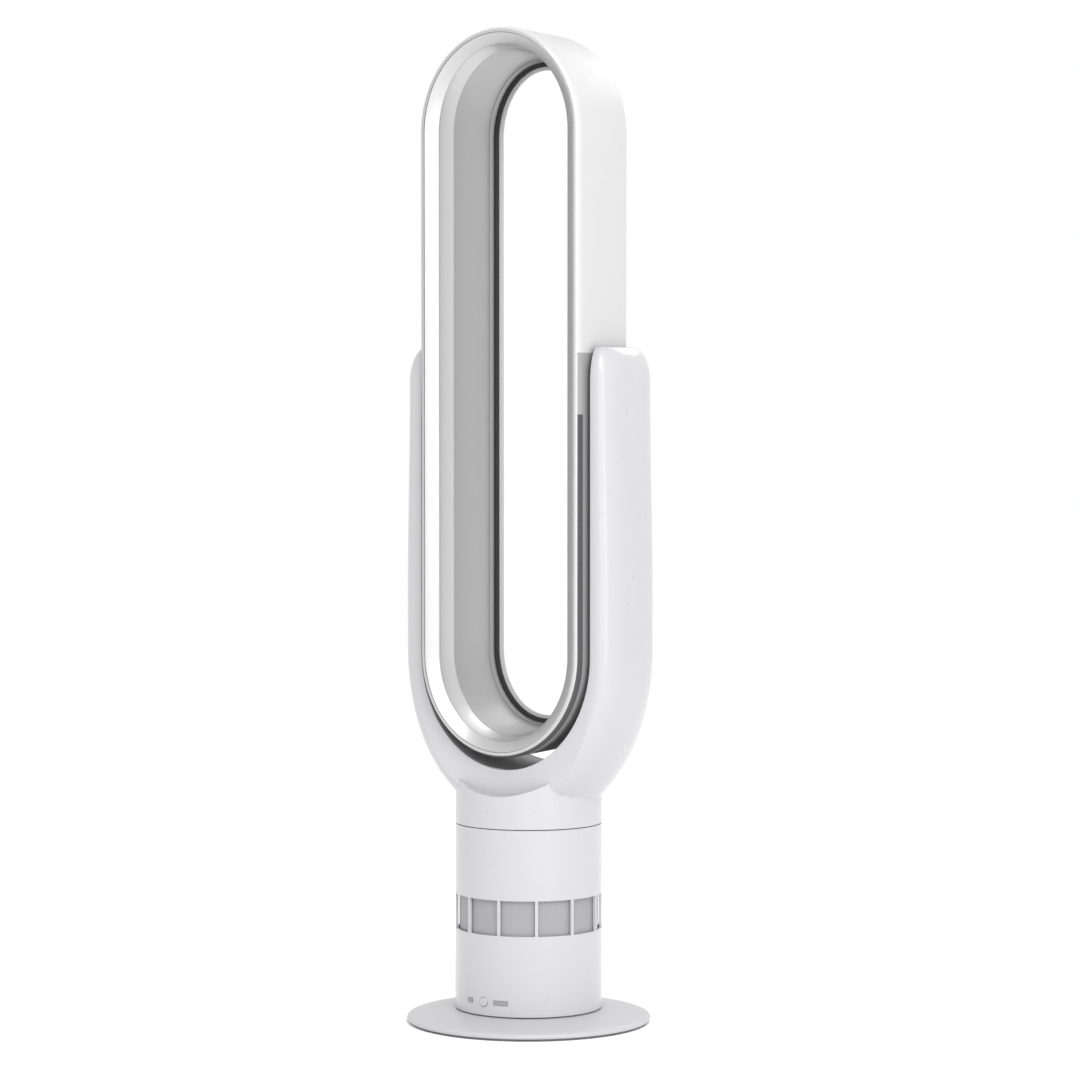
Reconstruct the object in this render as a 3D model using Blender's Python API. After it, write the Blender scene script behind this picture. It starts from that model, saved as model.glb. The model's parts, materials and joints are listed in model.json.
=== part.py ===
"""Bladeless tower fan: a swivelling column on a round base, a U-shaped cradle and a tall air loop.

The front faces -Y and Z is up. The origin is on the swivel axis, on the surface that the fan stands on.
"""

import math

import bmesh
import bpy
from mathutils import Vector

MM = 0.001

# Clearances
SEAT_GAP = 0.3 * MM
WALL_GAP = 0.5 * MM
WALL = 2.6 * MM

# Base
BASE_RADIUS = 122.2 * MM
BASE_UNDERSIDE = 2.3 * MM
BASE_TOP = 14.0 * MM
BASE_CEILING = 11.0 * MM
RIM_LAND_WIDTH = 15.6 * MM
RIM_CEILING = 6.2 * MM
FOOT_HEIGHT = 2.0 * MM
FOOT_WIDTH = 11.0 * MM
FOOT_INSET = 3.2 * MM
COVER_BOTTOM = 1.2 * MM
COVER_THICKNESS = 3.0 * MM
WEIGHT_INNER_RADIUS = 30.0 * MM
WEIGHT_OUTER_RADIUS = 90.0 * MM
WEIGHT_THICKNESS = 3.0 * MM
BASE_SCREW_CIRCLE = 98.0 * MM
BASE_SCREWS = 3

# Swivel
TURNTABLE_BOTTOM = 19.0 * MM
TURNTABLE_TOP = 22.0 * MM
HUB_RADIUS = 12.0 * MM
HUB_BORE = 8.0 * MM
HUB_BOTTOM = 8.6 * MM
CLIP_GROOVE_RADIUS = 10.7 * MM
CLIP_GROOVE_BOTTOM = 9.4 * MM
CLIP_GROOVE_TOP = 10.5 * MM
CLIP_OUTER_RADIUS = 17.5 * MM
BEARING_RING_WIDTH = 3.3 * MM
GEAR_MODULE = 1.5 * MM
RING_TEETH = 44
PINION_TEETH = 16
GEAR_HEIGHT = 4.0 * MM
GEAR_BORE = 20.0 * MM
PINION_SHAFT_RADIUS = 2.5 * MM
SWIVEL_MOTOR_RADIUS = 14.0 * MM
SWIVEL_MOTOR_HEIGHT = 19.0 * MM

# Column
COLUMN_RADIUS = 73.3 * MM
COLUMN_BOTTOM = 15.0 * MM
SEAM_HEIGHT = 200.0 * MM
SEAM_GAP = 0.8 * MM
EDGE_ROUND = 0.4 * MM
WINDOW_COUNT = 12
WINDOW_BOTTOM = 95.0 * MM
WINDOW_HEIGHT = 35.0 * MM
WINDOW_RIB = 3.0 * MM
WINDOW_PHASE = 2.5
LEDGE_THICKNESS = 2.0 * MM
LEDGE_WIDTH = 6.7 * MM
MESH_THICKNESS = 2.0 * MM
MESH_SLOTS = 3
COLUMN_SCREWS = 3
SPIGOT_DEPTH = 12.0 * MM

# Controls, on the column's front near its foot
CONTROL_HEIGHT = 28.5 * MM
BUTTON_ANGLE = -11.0
BUTTON_RADIUS = 4.6 * MM
BUTTON_TRAVEL = 1.2 * MM
BUTTON_STAND = 0.9 * MM
IR_ANGLE = -26.0
IR_WIDTH = 8.0 * MM
STATUS_ANGLE = 4.0
STATUS_WIDTH = 17.0 * MM
PANE_HEIGHT = 5.0 * MM
INLET_HEIGHT = 36.0 * MM
INLET_RADIUS = 6.2 * MM

# Electronics
BOARD_HEIGHT = 50.0 * MM
BOARD_THICKNESS = 1.6 * MM
BOARD_HALF_X = 48.0 * MM
BOARD_HALF_Y = 34.0 * MM
BOARD_SCREW_INSET = 6.0 * MM

# Blower
SHROUD_THROAT = 41.5 * MM
SHROUD_EXIT = 59.5 * MM
SHROUD_WALL = 1.8 * MM
THROAT_HEIGHT = 142.0 * MM
IMPELLER_TOP = 170.0 * MM
BLADE_COUNT = 9
BLADE_THICKNESS = 1.4 * MM
BLADE_SWEEP = 45.0
TIP_GAP = 0.9 * MM
SHAFT_RADIUS = 3.0 * MM
BUCKET_RADIUS = 45.0 * MM
BUCKET_BOTTOM = 174.0 * MM
BUCKET_TOP = 226.0 * MM
VANE_COUNT = 9
MOTOR_RADIUS = 27.0 * MM
MOTOR_BOTTOM = 176.6 * MM
MOTOR_TOP = 205.0 * MM
BEARING_RADIUS = 8.0 * MM
BEARING_HEIGHT = 4.0 * MM

# Air loop: half widths are taken at the straight sides
LOOP_HALF_WIDTH = 88.2 * MM
LOOP_FRONT = -67.2 * MM
LOOP_BACK = 44.4 * MM
LOOP_BOTTOM = 269.5 * MM
LOOP_TOP = 986.5 * MM
LOOP_ARC_RISE = 101.3 * MM
CROWN_RATIO = 0.9
CASING_WALL = 2.4 * MM
CASING_CORNER = 5.0 * MM
NOSE_WIDTH = 6.4 * MM
NOSE_DEPTH = 8.0 * MM
BEVEL_WIDTH = 11.5 * MM
BEVEL_DEPTH = 10.2 * MM
FACET_WIDTH = 3.3 * MM
FACET_DEPTH = 24.0 * MM
INNER_WALL = 1.8 * MM
FLARE_WIDTH = 2.0 * MM
FLARE_DEPTH = 5.4 * MM
SLOT_INSET = 29.7 * MM
SLOT_WIDTH = 4.5 * MM
SLOT_GAP = 1.4 * MM
LIP_WIDTH = 4.0 * MM
GASKET_WIDTH = 9.0 * MM
GASKET_DEPTH = 0.9 * MM
ARC_STEPS = 20

# Cradle
CRADLE_SIDE_GAP = 4.7 * MM
CRADLE_HALF_DEPTH = 55.9 * MM
CRADLE_CENTRE_Y = 2.5 * MM
CRADLE_TOP = 674.0 * MM
CRADLE_FOOT_GAP = 12.5 * MM
CRADLE_OUTER_BOTTOM = 206.0 * MM
CRADLE_OUTER_DROP = 180.6 * MM
ARM_THICKNESS = 28.5 * MM
ARM_TIP_THICKNESS = 24.4 * MM
ARM_EDGE = 4.0 * MM
KEEL_EDGE = 30.0 * MM
ARM_POWER = 2.5
KEEL_POWER = 1.5
DOME_HEIGHT = 34.0 * MM
DOME_TIP_THICKNESS = 8.0 * MM
DOME_DEPTH_LOSS = 18.0 * MM
SCOOP_HALF_WIDTH = 115.0 * MM
SCOOP_RISE = 138.6 * MM
LINER_RIM = 5.0 * MM
LINER_RECESS = 0.4 * MM
LINER_THICKNESS = 2.0 * MM
LINER_DROP = 80.0 * MM
OUTLET_HALF_DEPTH = 26.0 * MM
OUTLET_DROP = 52.0 * MM
OUTLET_HEIGHT = 34.0 * MM
PAD_DROP = 70.0 * MM
PAD_STEP = 0.6 * MM
PAD_ROUND = 12.0 * MM
SEAL_THICKNESS = 0.9 * MM
LINER_SCREW_HEIGHTS = (430.0 * MM, 560.0 * MM)

# Values that follow from the ones above
RIM_LAND_RADIUS = BASE_RADIUS - RIM_LAND_WIDTH
FOOT_OUTER_RADIUS = BASE_RADIUS - FOOT_INSET
FOOT_INNER_RADIUS = FOOT_OUTER_RADIUS - FOOT_WIDTH
COLUMN_INNER = COLUMN_RADIUS - WALL
SLIDING_RADIUS = COLUMN_INNER - WALL_GAP
COLUMN_TOP = SEAM_HEIGHT - SEAM_GAP / 2
COLLAR_BOTTOM = SEAM_HEIGHT + SEAM_GAP / 2
MESH_BOTTOM = WINDOW_BOTTOM - 2.7 * MM
MESH_TOP = WINDOW_BOTTOM + WINDOW_HEIGHT + 2.9 * MM
LOWER_LEDGE = MESH_BOTTOM - SEAT_GAP - 1.5 * MM
UPPER_LEDGE = MESH_TOP + SEAT_GAP
ISOLATOR_BOTTOM = UPPER_LEDGE + LEDGE_THICKNESS + SEAT_GAP
ISOLATOR_HEIGHT = 3.0 * MM
SHROUD_FLANGE = ISOLATOR_BOTTOM + ISOLATOR_HEIGHT + SEAT_GAP
CENTRE_DISTANCE = GEAR_MODULE * (RING_TEETH + PINION_TEETH) / 2
BEARING_RING_INNER = CENTRE_DISTANCE + GEAR_MODULE * PINION_TEETH / 2 + 2.2 * MM
SLOT_HALF_WIDTH = LOOP_HALF_WIDTH - SLOT_INSET
LIP_HALF_WIDTH = SLOT_HALF_WIDTH - SLOT_WIDTH - LIP_WIDTH
ARC_BOTTOM_Z = LOOP_BOTTOM + LOOP_ARC_RISE
ARC_TOP_Z = LOOP_TOP - LOOP_ARC_RISE
CRADLE_HALF_WIDTH = LOOP_HALF_WIDTH + CRADLE_SIDE_GAP
CRADLE_INNER_BOTTOM = LOOP_BOTTOM - CRADLE_FOOT_GAP
DOME_BASE = CRADLE_TOP - DOME_HEIGHT
LINER_TOP = CRADLE_TOP - LINER_DROP
OUTLET_BOTTOM = CRADLE_TOP - OUTLET_DROP
OUTLET_TOP = OUTLET_BOTTOM + OUTLET_HEIGHT
PAD_BOTTOM = CRADLE_TOP - PAD_DROP
PAD_TOP = CRADLE_TOP - PAD_STEP

# Colour, roughness and metallic value of each finish
FINISHES = {
    "white_gloss": ((0.84, 0.84, 0.86, 1), 0.3, 0.0),
    "white_satin": ((0.78, 0.78, 0.79, 1), 0.45, 0.0),
    "silver": ((0.52, 0.52, 0.52, 1), 0.3, 0.8),
    "black_rubber": ((0.02, 0.02, 0.02, 1), 0.7, 0.0),
    "grey_mesh": ((0.4, 0.4, 0.42, 1), 0.5, 0.2),
    "grey_plastic": ((0.3, 0.3, 0.31, 1), 0.5, 0.0),
    "dark_lens": ((0.05, 0.05, 0.06, 1), 0.15, 0.0),
    "steel": ((0.6, 0.6, 0.6, 1), 0.35, 1.0),
    "copper": ((0.7, 0.35, 0.18, 1), 0.4, 0.9),
    "circuit_green": ((0.03, 0.18, 0.08, 1), 0.5, 0.0),
    "black_plastic": ((0.04, 0.04, 0.04, 1), 0.4, 0.0),
}


def clear_scene():
    for obj in list(bpy.data.objects):
        bpy.data.objects.remove(obj, do_unlink=True)


def make_material(finish):
    if finish in bpy.data.materials:
        return bpy.data.materials[finish]
    colour, roughness, metallic = FINISHES[finish]
    material = bpy.data.materials.new(finish)
    material.use_nodes = True
    shader = material.node_tree.nodes["Principled BSDF"]
    shader.inputs["Base Color"].default_value = colour
    shader.inputs["Roughness"].default_value = roughness
    shader.inputs["Metallic"].default_value = metallic
    return material


# Mesh builders


def finish_object(name, bm, finish=None):
    """Makes the object; with no finish it is a cutter or a joined piece, and stays a hidden wire helper."""
    bmesh.ops.recalc_face_normals(bm, faces=bm.faces)
    mesh = bpy.data.meshes.new(name)
    bm.to_mesh(mesh)
    bm.free()
    mesh.shade_smooth()
    mesh.set_sharp_from_angle(angle=math.radians(28))
    obj = bpy.data.objects.new(name, mesh)
    bpy.context.scene.collection.objects.link(obj)
    if finish:
        mesh.materials.append(make_material(finish))
    else:
        obj.hide_render = True
        obj.display_type = "WIRE"
    return obj


def add_loft(bm, rings, closed):
    """Joins rings of equal length by quads; a closed loft runs back to its first ring."""
    rows = [[bm.verts.new(point) for point in ring] for ring in rings]
    pairs = list(zip(rows, rows[1:]))
    if closed:
        pairs.append((rows[-1], rows[0]))
    for low, high in pairs:
        for i in range(len(low)):
            j = (i + 1) % len(low)
            bm.faces.new((low[i], low[j], high[j], high[i]))
    if not closed:
        bm.faces.new(rows[0])
        bm.faces.new(rows[-1])


def loft(name, rings, closed, finish=None):
    bm = bmesh.new()
    add_loft(bm, rings, closed)
    return finish_object(name, bm, finish)


def lathe(name, outline, finish=None, steps=48):
    """Turns a closed outline of (radius, height) points about Z; a radius of 0 lies on the axis."""
    bm = bmesh.new()
    columns = []
    for radius, height in outline:
        if radius == 0:
            columns.append([bm.verts.new((0, 0, height))] * steps)
            continue
        turns = [math.tau * (i + 0.5) / steps for i in range(steps)]
        columns.append([bm.verts.new((radius * math.cos(a), radius * math.sin(a), height)) for a in turns])
    for this, following in zip(columns, columns[1:] + columns[:1]):
        for i in range(steps):
            j = (i + 1) % steps
            corners = list(dict.fromkeys((this[i], this[j], following[j], following[i])))
            if len(corners) > 2:
                bm.faces.new(corners)
    return finish_object(name, bm, finish)


def ring(name, inner, outer, bottom, top, finish=None, steps=48):
    return lathe(name, [(inner, bottom), (outer, bottom), (outer, top), (inner, top)], finish, steps)


def rod(name, radius, bottom, top, finish=None, steps=12):
    return lathe(name, [(0, bottom), (radius, bottom), (radius, top), (0, top)], finish, steps)


def box(name, low, high, finish=None):
    bm = bmesh.new()
    bmesh.ops.create_cube(bm, size=1)
    for vert in bm.verts:
        vert.co = Vector(high[i] if vert.co[i] > 0 else low[i] for i in range(3))
    return finish_object(name, bm, finish)


def sector(name, inner, outer, bottom, top, middle, half_angle, finish=None, steps=4):
    """A block of a tube wall; angles are in degrees from the front, positive towards +X."""
    rings = []
    for i in range(steps + 1):
        a = math.radians(middle + half_angle * (2 * i / steps - 1))
        out = Vector((math.sin(a), -math.cos(a), 0))
        corners = ((inner, bottom), (outer, bottom), (outer, top), (inner, top))
        rings.append([out * radius + Vector((0, 0, height)) for radius, height in corners])
    return loft(name, rings, False, finish)


def at_front(obj, angle, height):
    """Lays a piece built about Z on its side, so that its top faces out of the column at this angle."""
    obj.rotation_euler = (math.radians(90), 0, math.radians(angle))
    obj.location.z = height
    return obj


def boolean(target, others, operation):
    """Joins or cuts with all of the others in one step."""
    group = bpy.data.collections.new(f"{target.name}_{operation.lower()}")
    for other in others:
        group.objects.link(other)
    modifier = target.modifiers.new(group.name, "BOOLEAN")
    modifier.operation = operation
    modifier.operand_type = "COLLECTION"
    modifier.collection = group
    modifier.solver = "EXACT"


def cut(target, *cutters):
    boolean(target, cutters, "DIFFERENCE")


def join(target, *others):
    boolean(target, others, "UNION")


def hollow_post(name, radius, hole, foot, mouth, floor):
    """A screw post from its foot to its mouth, with a blind hole down to its floor."""
    outline = [(hole, mouth), (radius, mouth), (radius, foot), (0, foot), (0, floor), (hole, floor)]
    return lathe(name, outline, steps=12)


def around(count, radius, phase=0.0):
    """Points on a circle, the first at this angle in degrees from +X."""
    turns = [math.radians(phase) + math.tau * i / count for i in range(count)]
    return [Vector((radius * math.cos(a), radius * math.sin(a), 0)) for a in turns]


def screw(name, head_radius, head_height, shank_radius, length, point, up=True):
    """A pan-head screw with its head's outer face at the point, pointing along +Z or -Z."""
    outline = [(0, 0), (head_radius, 0), (head_radius, head_height)]
    outline += [(shank_radius, head_height), (shank_radius, length), (0, length)]
    obj = lathe(name, outline, "steel", steps=10)
    obj.location = point
    if not up:
        obj.rotation_euler.x = math.pi
    return obj


# Base


def make_base():
    outline = [(HUB_RADIUS + 0.35 * MM, BASE_CEILING), (HUB_RADIUS + 0.35 * MM, BASE_TOP)]
    outline += [(COLUMN_RADIUS + 3.7 * MM, BASE_TOP), (BASE_RADIUS - 22 * MM, 11 * MM)]
    outline += [(BASE_RADIUS - 4.5 * MM, 8 * MM), (BASE_RADIUS - 1.5 * MM, 6.9 * MM)]
    outline += [(BASE_RADIUS - 0.3 * MM, 5.7 * MM), (BASE_RADIUS, 4.4 * MM)]
    outline += [(BASE_RADIUS - 0.4 * MM, 3 * MM), (BASE_RADIUS - 1.3 * MM, BASE_UNDERSIDE)]
    outline += [(RIM_LAND_RADIUS, BASE_UNDERSIDE), (RIM_LAND_RADIUS, RIM_CEILING)]
    outline += [(COLUMN_RADIUS + 3.7 * MM, BASE_CEILING)]
    plate = lathe("base_plate", outline, "white_satin", steps=48)
    cover_top = COVER_BOTTOM + COVER_THICKNESS
    cover = rod("base_cover", RIM_LAND_RADIUS - 0.4 * MM, COVER_BOTTOM, cover_top, "grey_plastic", steps=36)
    bosses = []
    holes = []
    for i, spot in enumerate(around(BASE_SCREWS, BASE_SCREW_CIRCLE, 30)):
        head_bottom = COVER_BOTTOM + 0.2 * MM
        boss = hollow_post(f"base_boss_{i}", 4 * MM, 1.8 * MM, RIM_CEILING + 3 * MM, cover_top + SEAT_GAP, 7.4 * MM)
        sink = COVER_BOTTOM + 1.8 * MM
        outline = [(0, 0), (3.3 * MM, 0), (3.3 * MM, sink), (1.8 * MM, sink), (1.8 * MM, 6 * MM), (0, 6 * MM)]
        hole = lathe(f"base_hole_{i}", outline, steps=12)
        boss.location = spot
        hole.location = spot
        bosses.append(boss)
        holes.append(hole)
        point = spot + Vector((0, 0, head_bottom))
        screw(f"base_screw_{i + 1}", 2.9 * MM, 1.3 * MM, 1.5 * MM, 5.7 * MM, point)
    join(plate, *bosses)
    cut(cover, *holes)
    ring("foot_ring", FOOT_INNER_RADIUS, FOOT_OUTER_RADIUS, 0, FOOT_HEIGHT, "black_rubber", steps=48)
    weight_bottom = cover_top + 0.8 * MM
    weight_top = weight_bottom + WEIGHT_THICKNESS
    ring("base_weight", WEIGHT_INNER_RADIUS, WEIGHT_OUTER_RADIUS, weight_bottom, weight_top, "steel", steps=36)
    bottom = BASE_TOP + SEAT_GAP
    outer = BEARING_RING_INNER + BEARING_RING_WIDTH
    ring("swivel_bearing_ring", BEARING_RING_INNER, outer, bottom, TURNTABLE_BOTTOM - SEAT_GAP, "white_satin", 36)
    gear("swivel_gear", RING_TEETH, GEAR_BORE, bottom, 180.0, "white_satin")


def gear(name, teeth, bore, bottom, phase, finish):
    """A stub-tooth gear with straight flanks with one tooth centred at this phase in degrees."""
    pressure = math.radians(20)
    pitch = GEAR_MODULE * teeth / 2
    base_circle = pitch * math.cos(pressure)
    root = pitch - 1.05 * GEAR_MODULE
    backlash = 0.25 * MM
    half_at_pitch = math.pi / (2 * teeth) - backlash / (4 * pitch)

    def half_angle(radius):
        if radius <= base_circle:
            return half_at_pitch + math.tan(pressure) - pressure
        angle = math.acos(base_circle / radius)
        return half_at_pitch + (math.tan(pressure) - pressure) - (math.tan(angle) - angle)

    radii = (root, pitch + 0.8 * GEAR_MODULE)
    outline = []
    for tooth in range(teeth):
        middle = math.radians(phase) + math.tau * tooth / teeth
        for radius in radii:
            outline.append((radius, middle - half_angle(radius)))
        for radius in reversed(radii):
            outline.append((radius, middle + half_angle(radius)))
    rings = []
    for height in (bottom, bottom + GEAR_HEIGHT):
        rings.append([(radius * math.cos(a), radius * math.sin(a), height) for radius, a in outline])
    obj = loft(name, rings, False, finish)
    if bore:
        cut(obj, rod(f"{name}_bore", bore, bottom - 1 * MM, bottom + GEAR_HEIGHT + 1 * MM, steps=24))
    return obj


# Column


def column_screw_spots():
    return around(COLUMN_SCREWS, COLUMN_INNER - 3.7 * MM, 60)


def make_column_shell(column):
    outline = [(COLUMN_INNER, COLUMN_BOTTOM), (COLUMN_RADIUS - EDGE_ROUND, COLUMN_BOTTOM)]
    outline += [(COLUMN_RADIUS, COLUMN_BOTTOM + EDGE_ROUND), (COLUMN_RADIUS, COLUMN_TOP - EDGE_ROUND)]
    outline += [(COLUMN_RADIUS - EDGE_ROUND, COLUMN_TOP), (COLUMN_INNER, COLUMN_TOP)]
    ledge = COLUMN_INNER - LEDGE_WIDTH
    mesh_ledge = COLUMN_INNER - MESH_THICKNESS - 2.7 * MM
    outline += [(COLUMN_INNER, UPPER_LEDGE + LEDGE_THICKNESS), (ledge, UPPER_LEDGE + LEDGE_THICKNESS)]
    outline += [(ledge, UPPER_LEDGE), (COLUMN_INNER, UPPER_LEDGE)]
    outline += [(COLUMN_INNER, LOWER_LEDGE + 1.5 * MM), (mesh_ledge, LOWER_LEDGE + 1.5 * MM)]
    outline += [(mesh_ledge, LOWER_LEDGE), (COLUMN_INNER, LOWER_LEDGE)]
    shell = lathe("column_shell", outline, "white_gloss", steps=48)
    pitch = 360 / WINDOW_COUNT
    half = pitch / 2 - math.degrees(WINDOW_RIB / 2 / COLUMN_RADIUS)
    inner = COLUMN_INNER - 1 * MM
    outer = COLUMN_RADIUS + 1 * MM
    top = WINDOW_BOTTOM + WINDOW_HEIGHT
    windows = []
    for i in range(WINDOW_COUNT):
        middle = WINDOW_PHASE + pitch * (i + 0.5)
        windows.append(sector(f"window_cutter_{i}", inner, outer, WINDOW_BOTTOM, top, middle, half, steps=2))
    cut(shell, *windows)
    bosses = []
    for i, spot in enumerate(column_screw_spots()):
        boss = hollow_post(f"column_boss_{i}", 4.2 * MM, 1.8 * MM, 34 * MM, TURNTABLE_TOP + SEAT_GAP, 32.5 * MM)
        boss.location = spot
        bosses.append(boss)
        point = spot + Vector((0, 0, TURNTABLE_BOTTOM - SEAT_GAP - 1.4 * MM))
        column[f"column_screw_{i}"] = screw(
            f"column_screw_{i + 1}", 2.6 * MM, 1.4 * MM, 1.5 * MM, 14 * MM, point
        )
    join(shell, *bosses)
    column["shell"] = shell


def make_turntable(column):
    outline = [(HUB_BORE, HUB_BOTTOM), (HUB_RADIUS, HUB_BOTTOM), (HUB_RADIUS, CLIP_GROOVE_BOTTOM)]
    outline += [(CLIP_GROOVE_RADIUS, CLIP_GROOVE_BOTTOM), (CLIP_GROOVE_RADIUS, CLIP_GROOVE_TOP)]
    outline += [(HUB_RADIUS, CLIP_GROOVE_TOP), (HUB_RADIUS, TURNTABLE_BOTTOM)]
    outline += [(SLIDING_RADIUS, TURNTABLE_BOTTOM), (SLIDING_RADIUS, TURNTABLE_TOP), (HUB_BORE, TURNTABLE_TOP)]
    turntable = lathe("turntable", outline, "grey_plastic", steps=36)
    shaft_hole = rod("pinion_hole", PINION_SHAFT_RADIUS + 1.5 * MM, 0, TURNTABLE_TOP + 1 * MM)
    shaft_hole.location.x = -CENTRE_DISTANCE
    holes = [shaft_hole]
    for i, spot in enumerate(column_screw_spots()):
        hole = rod(f"column_pilot_{i}", 1.8 * MM, TURNTABLE_BOTTOM - 1 * MM, TURNTABLE_TOP + 1 * MM)
        hole.location = spot
        holes.append(hole)
    cut(turntable, *holes)
    column["turntable"] = turntable
    clip_inner = CLIP_GROOVE_RADIUS + SEAT_GAP
    clip_bottom = CLIP_GROOVE_BOTTOM + 0.15 * MM
    clip_top = CLIP_GROOVE_TOP - 0.15 * MM
    clip = ring("swivel_clip", clip_inner, CLIP_OUTER_RADIUS, clip_bottom, clip_top, "steel", steps=24)
    slot = 5 * MM
    cut(clip, box("clip_slot", (0, -slot, 0), (CLIP_OUTER_RADIUS + 1 * MM, slot, BASE_TOP)))
    column["clip"] = clip


def make_swivel_drive(column):
    bottom = TURNTABLE_TOP + SEAT_GAP
    motor = rod("swivel_motor", SWIVEL_MOTOR_RADIUS, bottom, bottom + SWIVEL_MOTOR_HEIGHT, "steel", steps=24)
    socket_top = bottom + 8 * MM
    socket = rod("swivel_motor_socket", PINION_SHAFT_RADIUS + SEAT_GAP, 0, socket_top)
    cut(motor, socket)
    column["swivel_motor"] = motor
    pinion = gear("swivel_pinion", PINION_TEETH, 0, BASE_TOP + SEAT_GAP, 180.0 / PINION_TEETH, "white_satin")
    shaft = rod("pinion_shaft", PINION_SHAFT_RADIUS, BASE_TOP + 2 * MM, socket_top - 1 * MM)
    join(pinion, shaft)
    for piece in (motor, socket, pinion, shaft):
        piece.location.x = -CENTRE_DISTANCE
    return pinion


def make_board(column):
    top = BOARD_HEIGHT + BOARD_THICKNESS
    low = (-BOARD_HALF_X, -BOARD_HALF_Y, BOARD_HEIGHT)
    board = box("main_board", low, (BOARD_HALF_X, BOARD_HALF_Y, top), "circuit_green")
    root = top - 0.8 * MM
    transformer = box("transformer", (8 * MM, -14 * MM, root), (36 * MM, 16 * MM, top + 22 * MM))
    connector = box("board_connector", (-36 * MM, -22 * MM, root), (-14 * MM, -14 * MM, top + 8 * MM))
    capacitor = rod("capacitor", 8 * MM, root, top + 26 * MM, steps=20)
    capacitor.location = (-26 * MM, 10 * MM, 0)
    join(board, transformer, connector, capacitor)
    column["board"] = board
    across = BOARD_HALF_X - BOARD_SCREW_INSET
    along = BOARD_HALF_Y - BOARD_SCREW_INSET
    corners = [(x, y) for x in (-across, across) for y in (-along, along)]
    posts = []
    pilots = []
    for i, (x, y) in enumerate(corners):
        mouth = BOARD_HEIGHT - SEAT_GAP
        post = hollow_post(f"board_post_{i}", 3.5 * MM, 1.8 * MM, TURNTABLE_TOP - 1 * MM, mouth, mouth - 10 * MM)
        pilot = rod(f"board_pilot_{i}", 1.8 * MM, BOARD_HEIGHT - 1 * MM, top + 1 * MM)
        post.location = (x, y, 0)
        pilot.location = (x, y, 0)
        posts.append(post)
        pilots.append(pilot)
        point = (x, y, top + SEAT_GAP + 1.4 * MM)
        column[f"board_screw_{i}"] = screw(
            f"board_screw_{i + 1}", 2.8 * MM, 1.4 * MM, 1.5 * MM, 10 * MM, point, up=False
        )
    join(column["turntable"], *posts)
    cut(board, *pilots)


def make_controls(column):
    """The infrared pane, the sprung button and the status pane in one row, with their board behind."""
    panes = (("ir_window", IR_ANGLE, IR_WIDTH), ("status_window", STATUS_ANGLE, STATUS_WIDTH))
    bottom = CONTROL_HEIGHT - PANE_HEIGHT / 2
    top = CONTROL_HEIGHT + PANE_HEIGHT / 2
    holes = []
    for name, angle, width in panes:
        half = math.degrees(width / 2 / COLUMN_RADIUS)
        play = math.degrees(SEAT_GAP / COLUMN_RADIUS)
        inner = COLUMN_INNER - 1 * MM
        outer = COLUMN_RADIUS + 1 * MM
        holes.append(sector(f"{name}_hole", inner, outer, bottom, top, angle, half))
        span = (bottom + SEAT_GAP, top - SEAT_GAP, angle, half - play, "dark_lens")
        column[name] = sector(name, COLUMN_INNER, COLUMN_RADIUS - 0.2 * MM, *span)
    hole_radius = BUTTON_RADIUS + 0.4 * MM
    hole = rod("button_hole", hole_radius, COLUMN_INNER - 2 * MM, COLUMN_RADIUS + 2 * MM, steps=24)
    cut(column["shell"], at_front(hole, BUTTON_ANGLE, CONTROL_HEIGHT), *holes)
    back = COLUMN_INNER - 8 * MM
    half_x = 19 * MM
    board = box(
        "control_board", (-half_x, TURNTABLE_TOP + 0.6 * MM - CONTROL_HEIGHT, back - BOARD_THICKNESS),
        (half_x, 14 * MM, back), "circuit_green",
    )
    switch = rod("tact_switch", 2.5 * MM, back - 0.5 * MM, back + 2.5 * MM, steps=12)
    join(board, at_front(switch, BUTTON_ANGLE, CONTROL_HEIGHT))
    column["control_board"] = at_front(board, BUTTON_ANGLE, CONTROL_HEIGHT)


def make_button():
    face = COLUMN_RADIUS + BUTTON_STAND
    flange_front = COLUMN_INNER - 0.6 * MM
    flange_back = flange_front - 1.2 * MM
    stem_back = COLUMN_INNER - 8 * MM + 2.5 * MM + BUTTON_TRAVEL + SEAT_GAP
    outline = [(0, stem_back), (2 * MM, stem_back), (2 * MM, flange_back), (BUTTON_RADIUS + 1.3 * MM, flange_back)]
    outline += [(BUTTON_RADIUS + 1.3 * MM, flange_front), (BUTTON_RADIUS, flange_front)]
    outline += [(BUTTON_RADIUS, face - 0.6 * MM), (BUTTON_RADIUS - 0.6 * MM, face), (0, face + 0.1 * MM)]
    button = lathe("power_button", outline, "white_gloss", steps=24)
    return at_front(button, BUTTON_ANGLE, CONTROL_HEIGHT)


def make_inlet(column):
    """A round low-voltage socket in the column's back."""
    front = COLUMN_INNER - 14 * MM
    face = COLUMN_RADIUS - 0.5 * MM
    depth = 9 * MM
    outline = [(0, front), (INLET_RADIUS, front), (INLET_RADIUS, face), (3 * MM, face)]
    outline += [(3 * MM, face - depth), (1 * MM, face - depth), (1 * MM, face - 1.5 * MM), (0, face - 1.5 * MM)]
    inlet = lathe("power_inlet", outline, "black_plastic", steps=24)
    column["inlet"] = at_front(inlet, 180.0, INLET_HEIGHT)
    hole = rod("inlet_hole", INLET_RADIUS + SEAT_GAP, COLUMN_INNER - 2 * MM, COLUMN_RADIUS + 2 * MM, steps=24)
    cut(column["shell"], at_front(hole, 180.0, INLET_HEIGHT))


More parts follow.
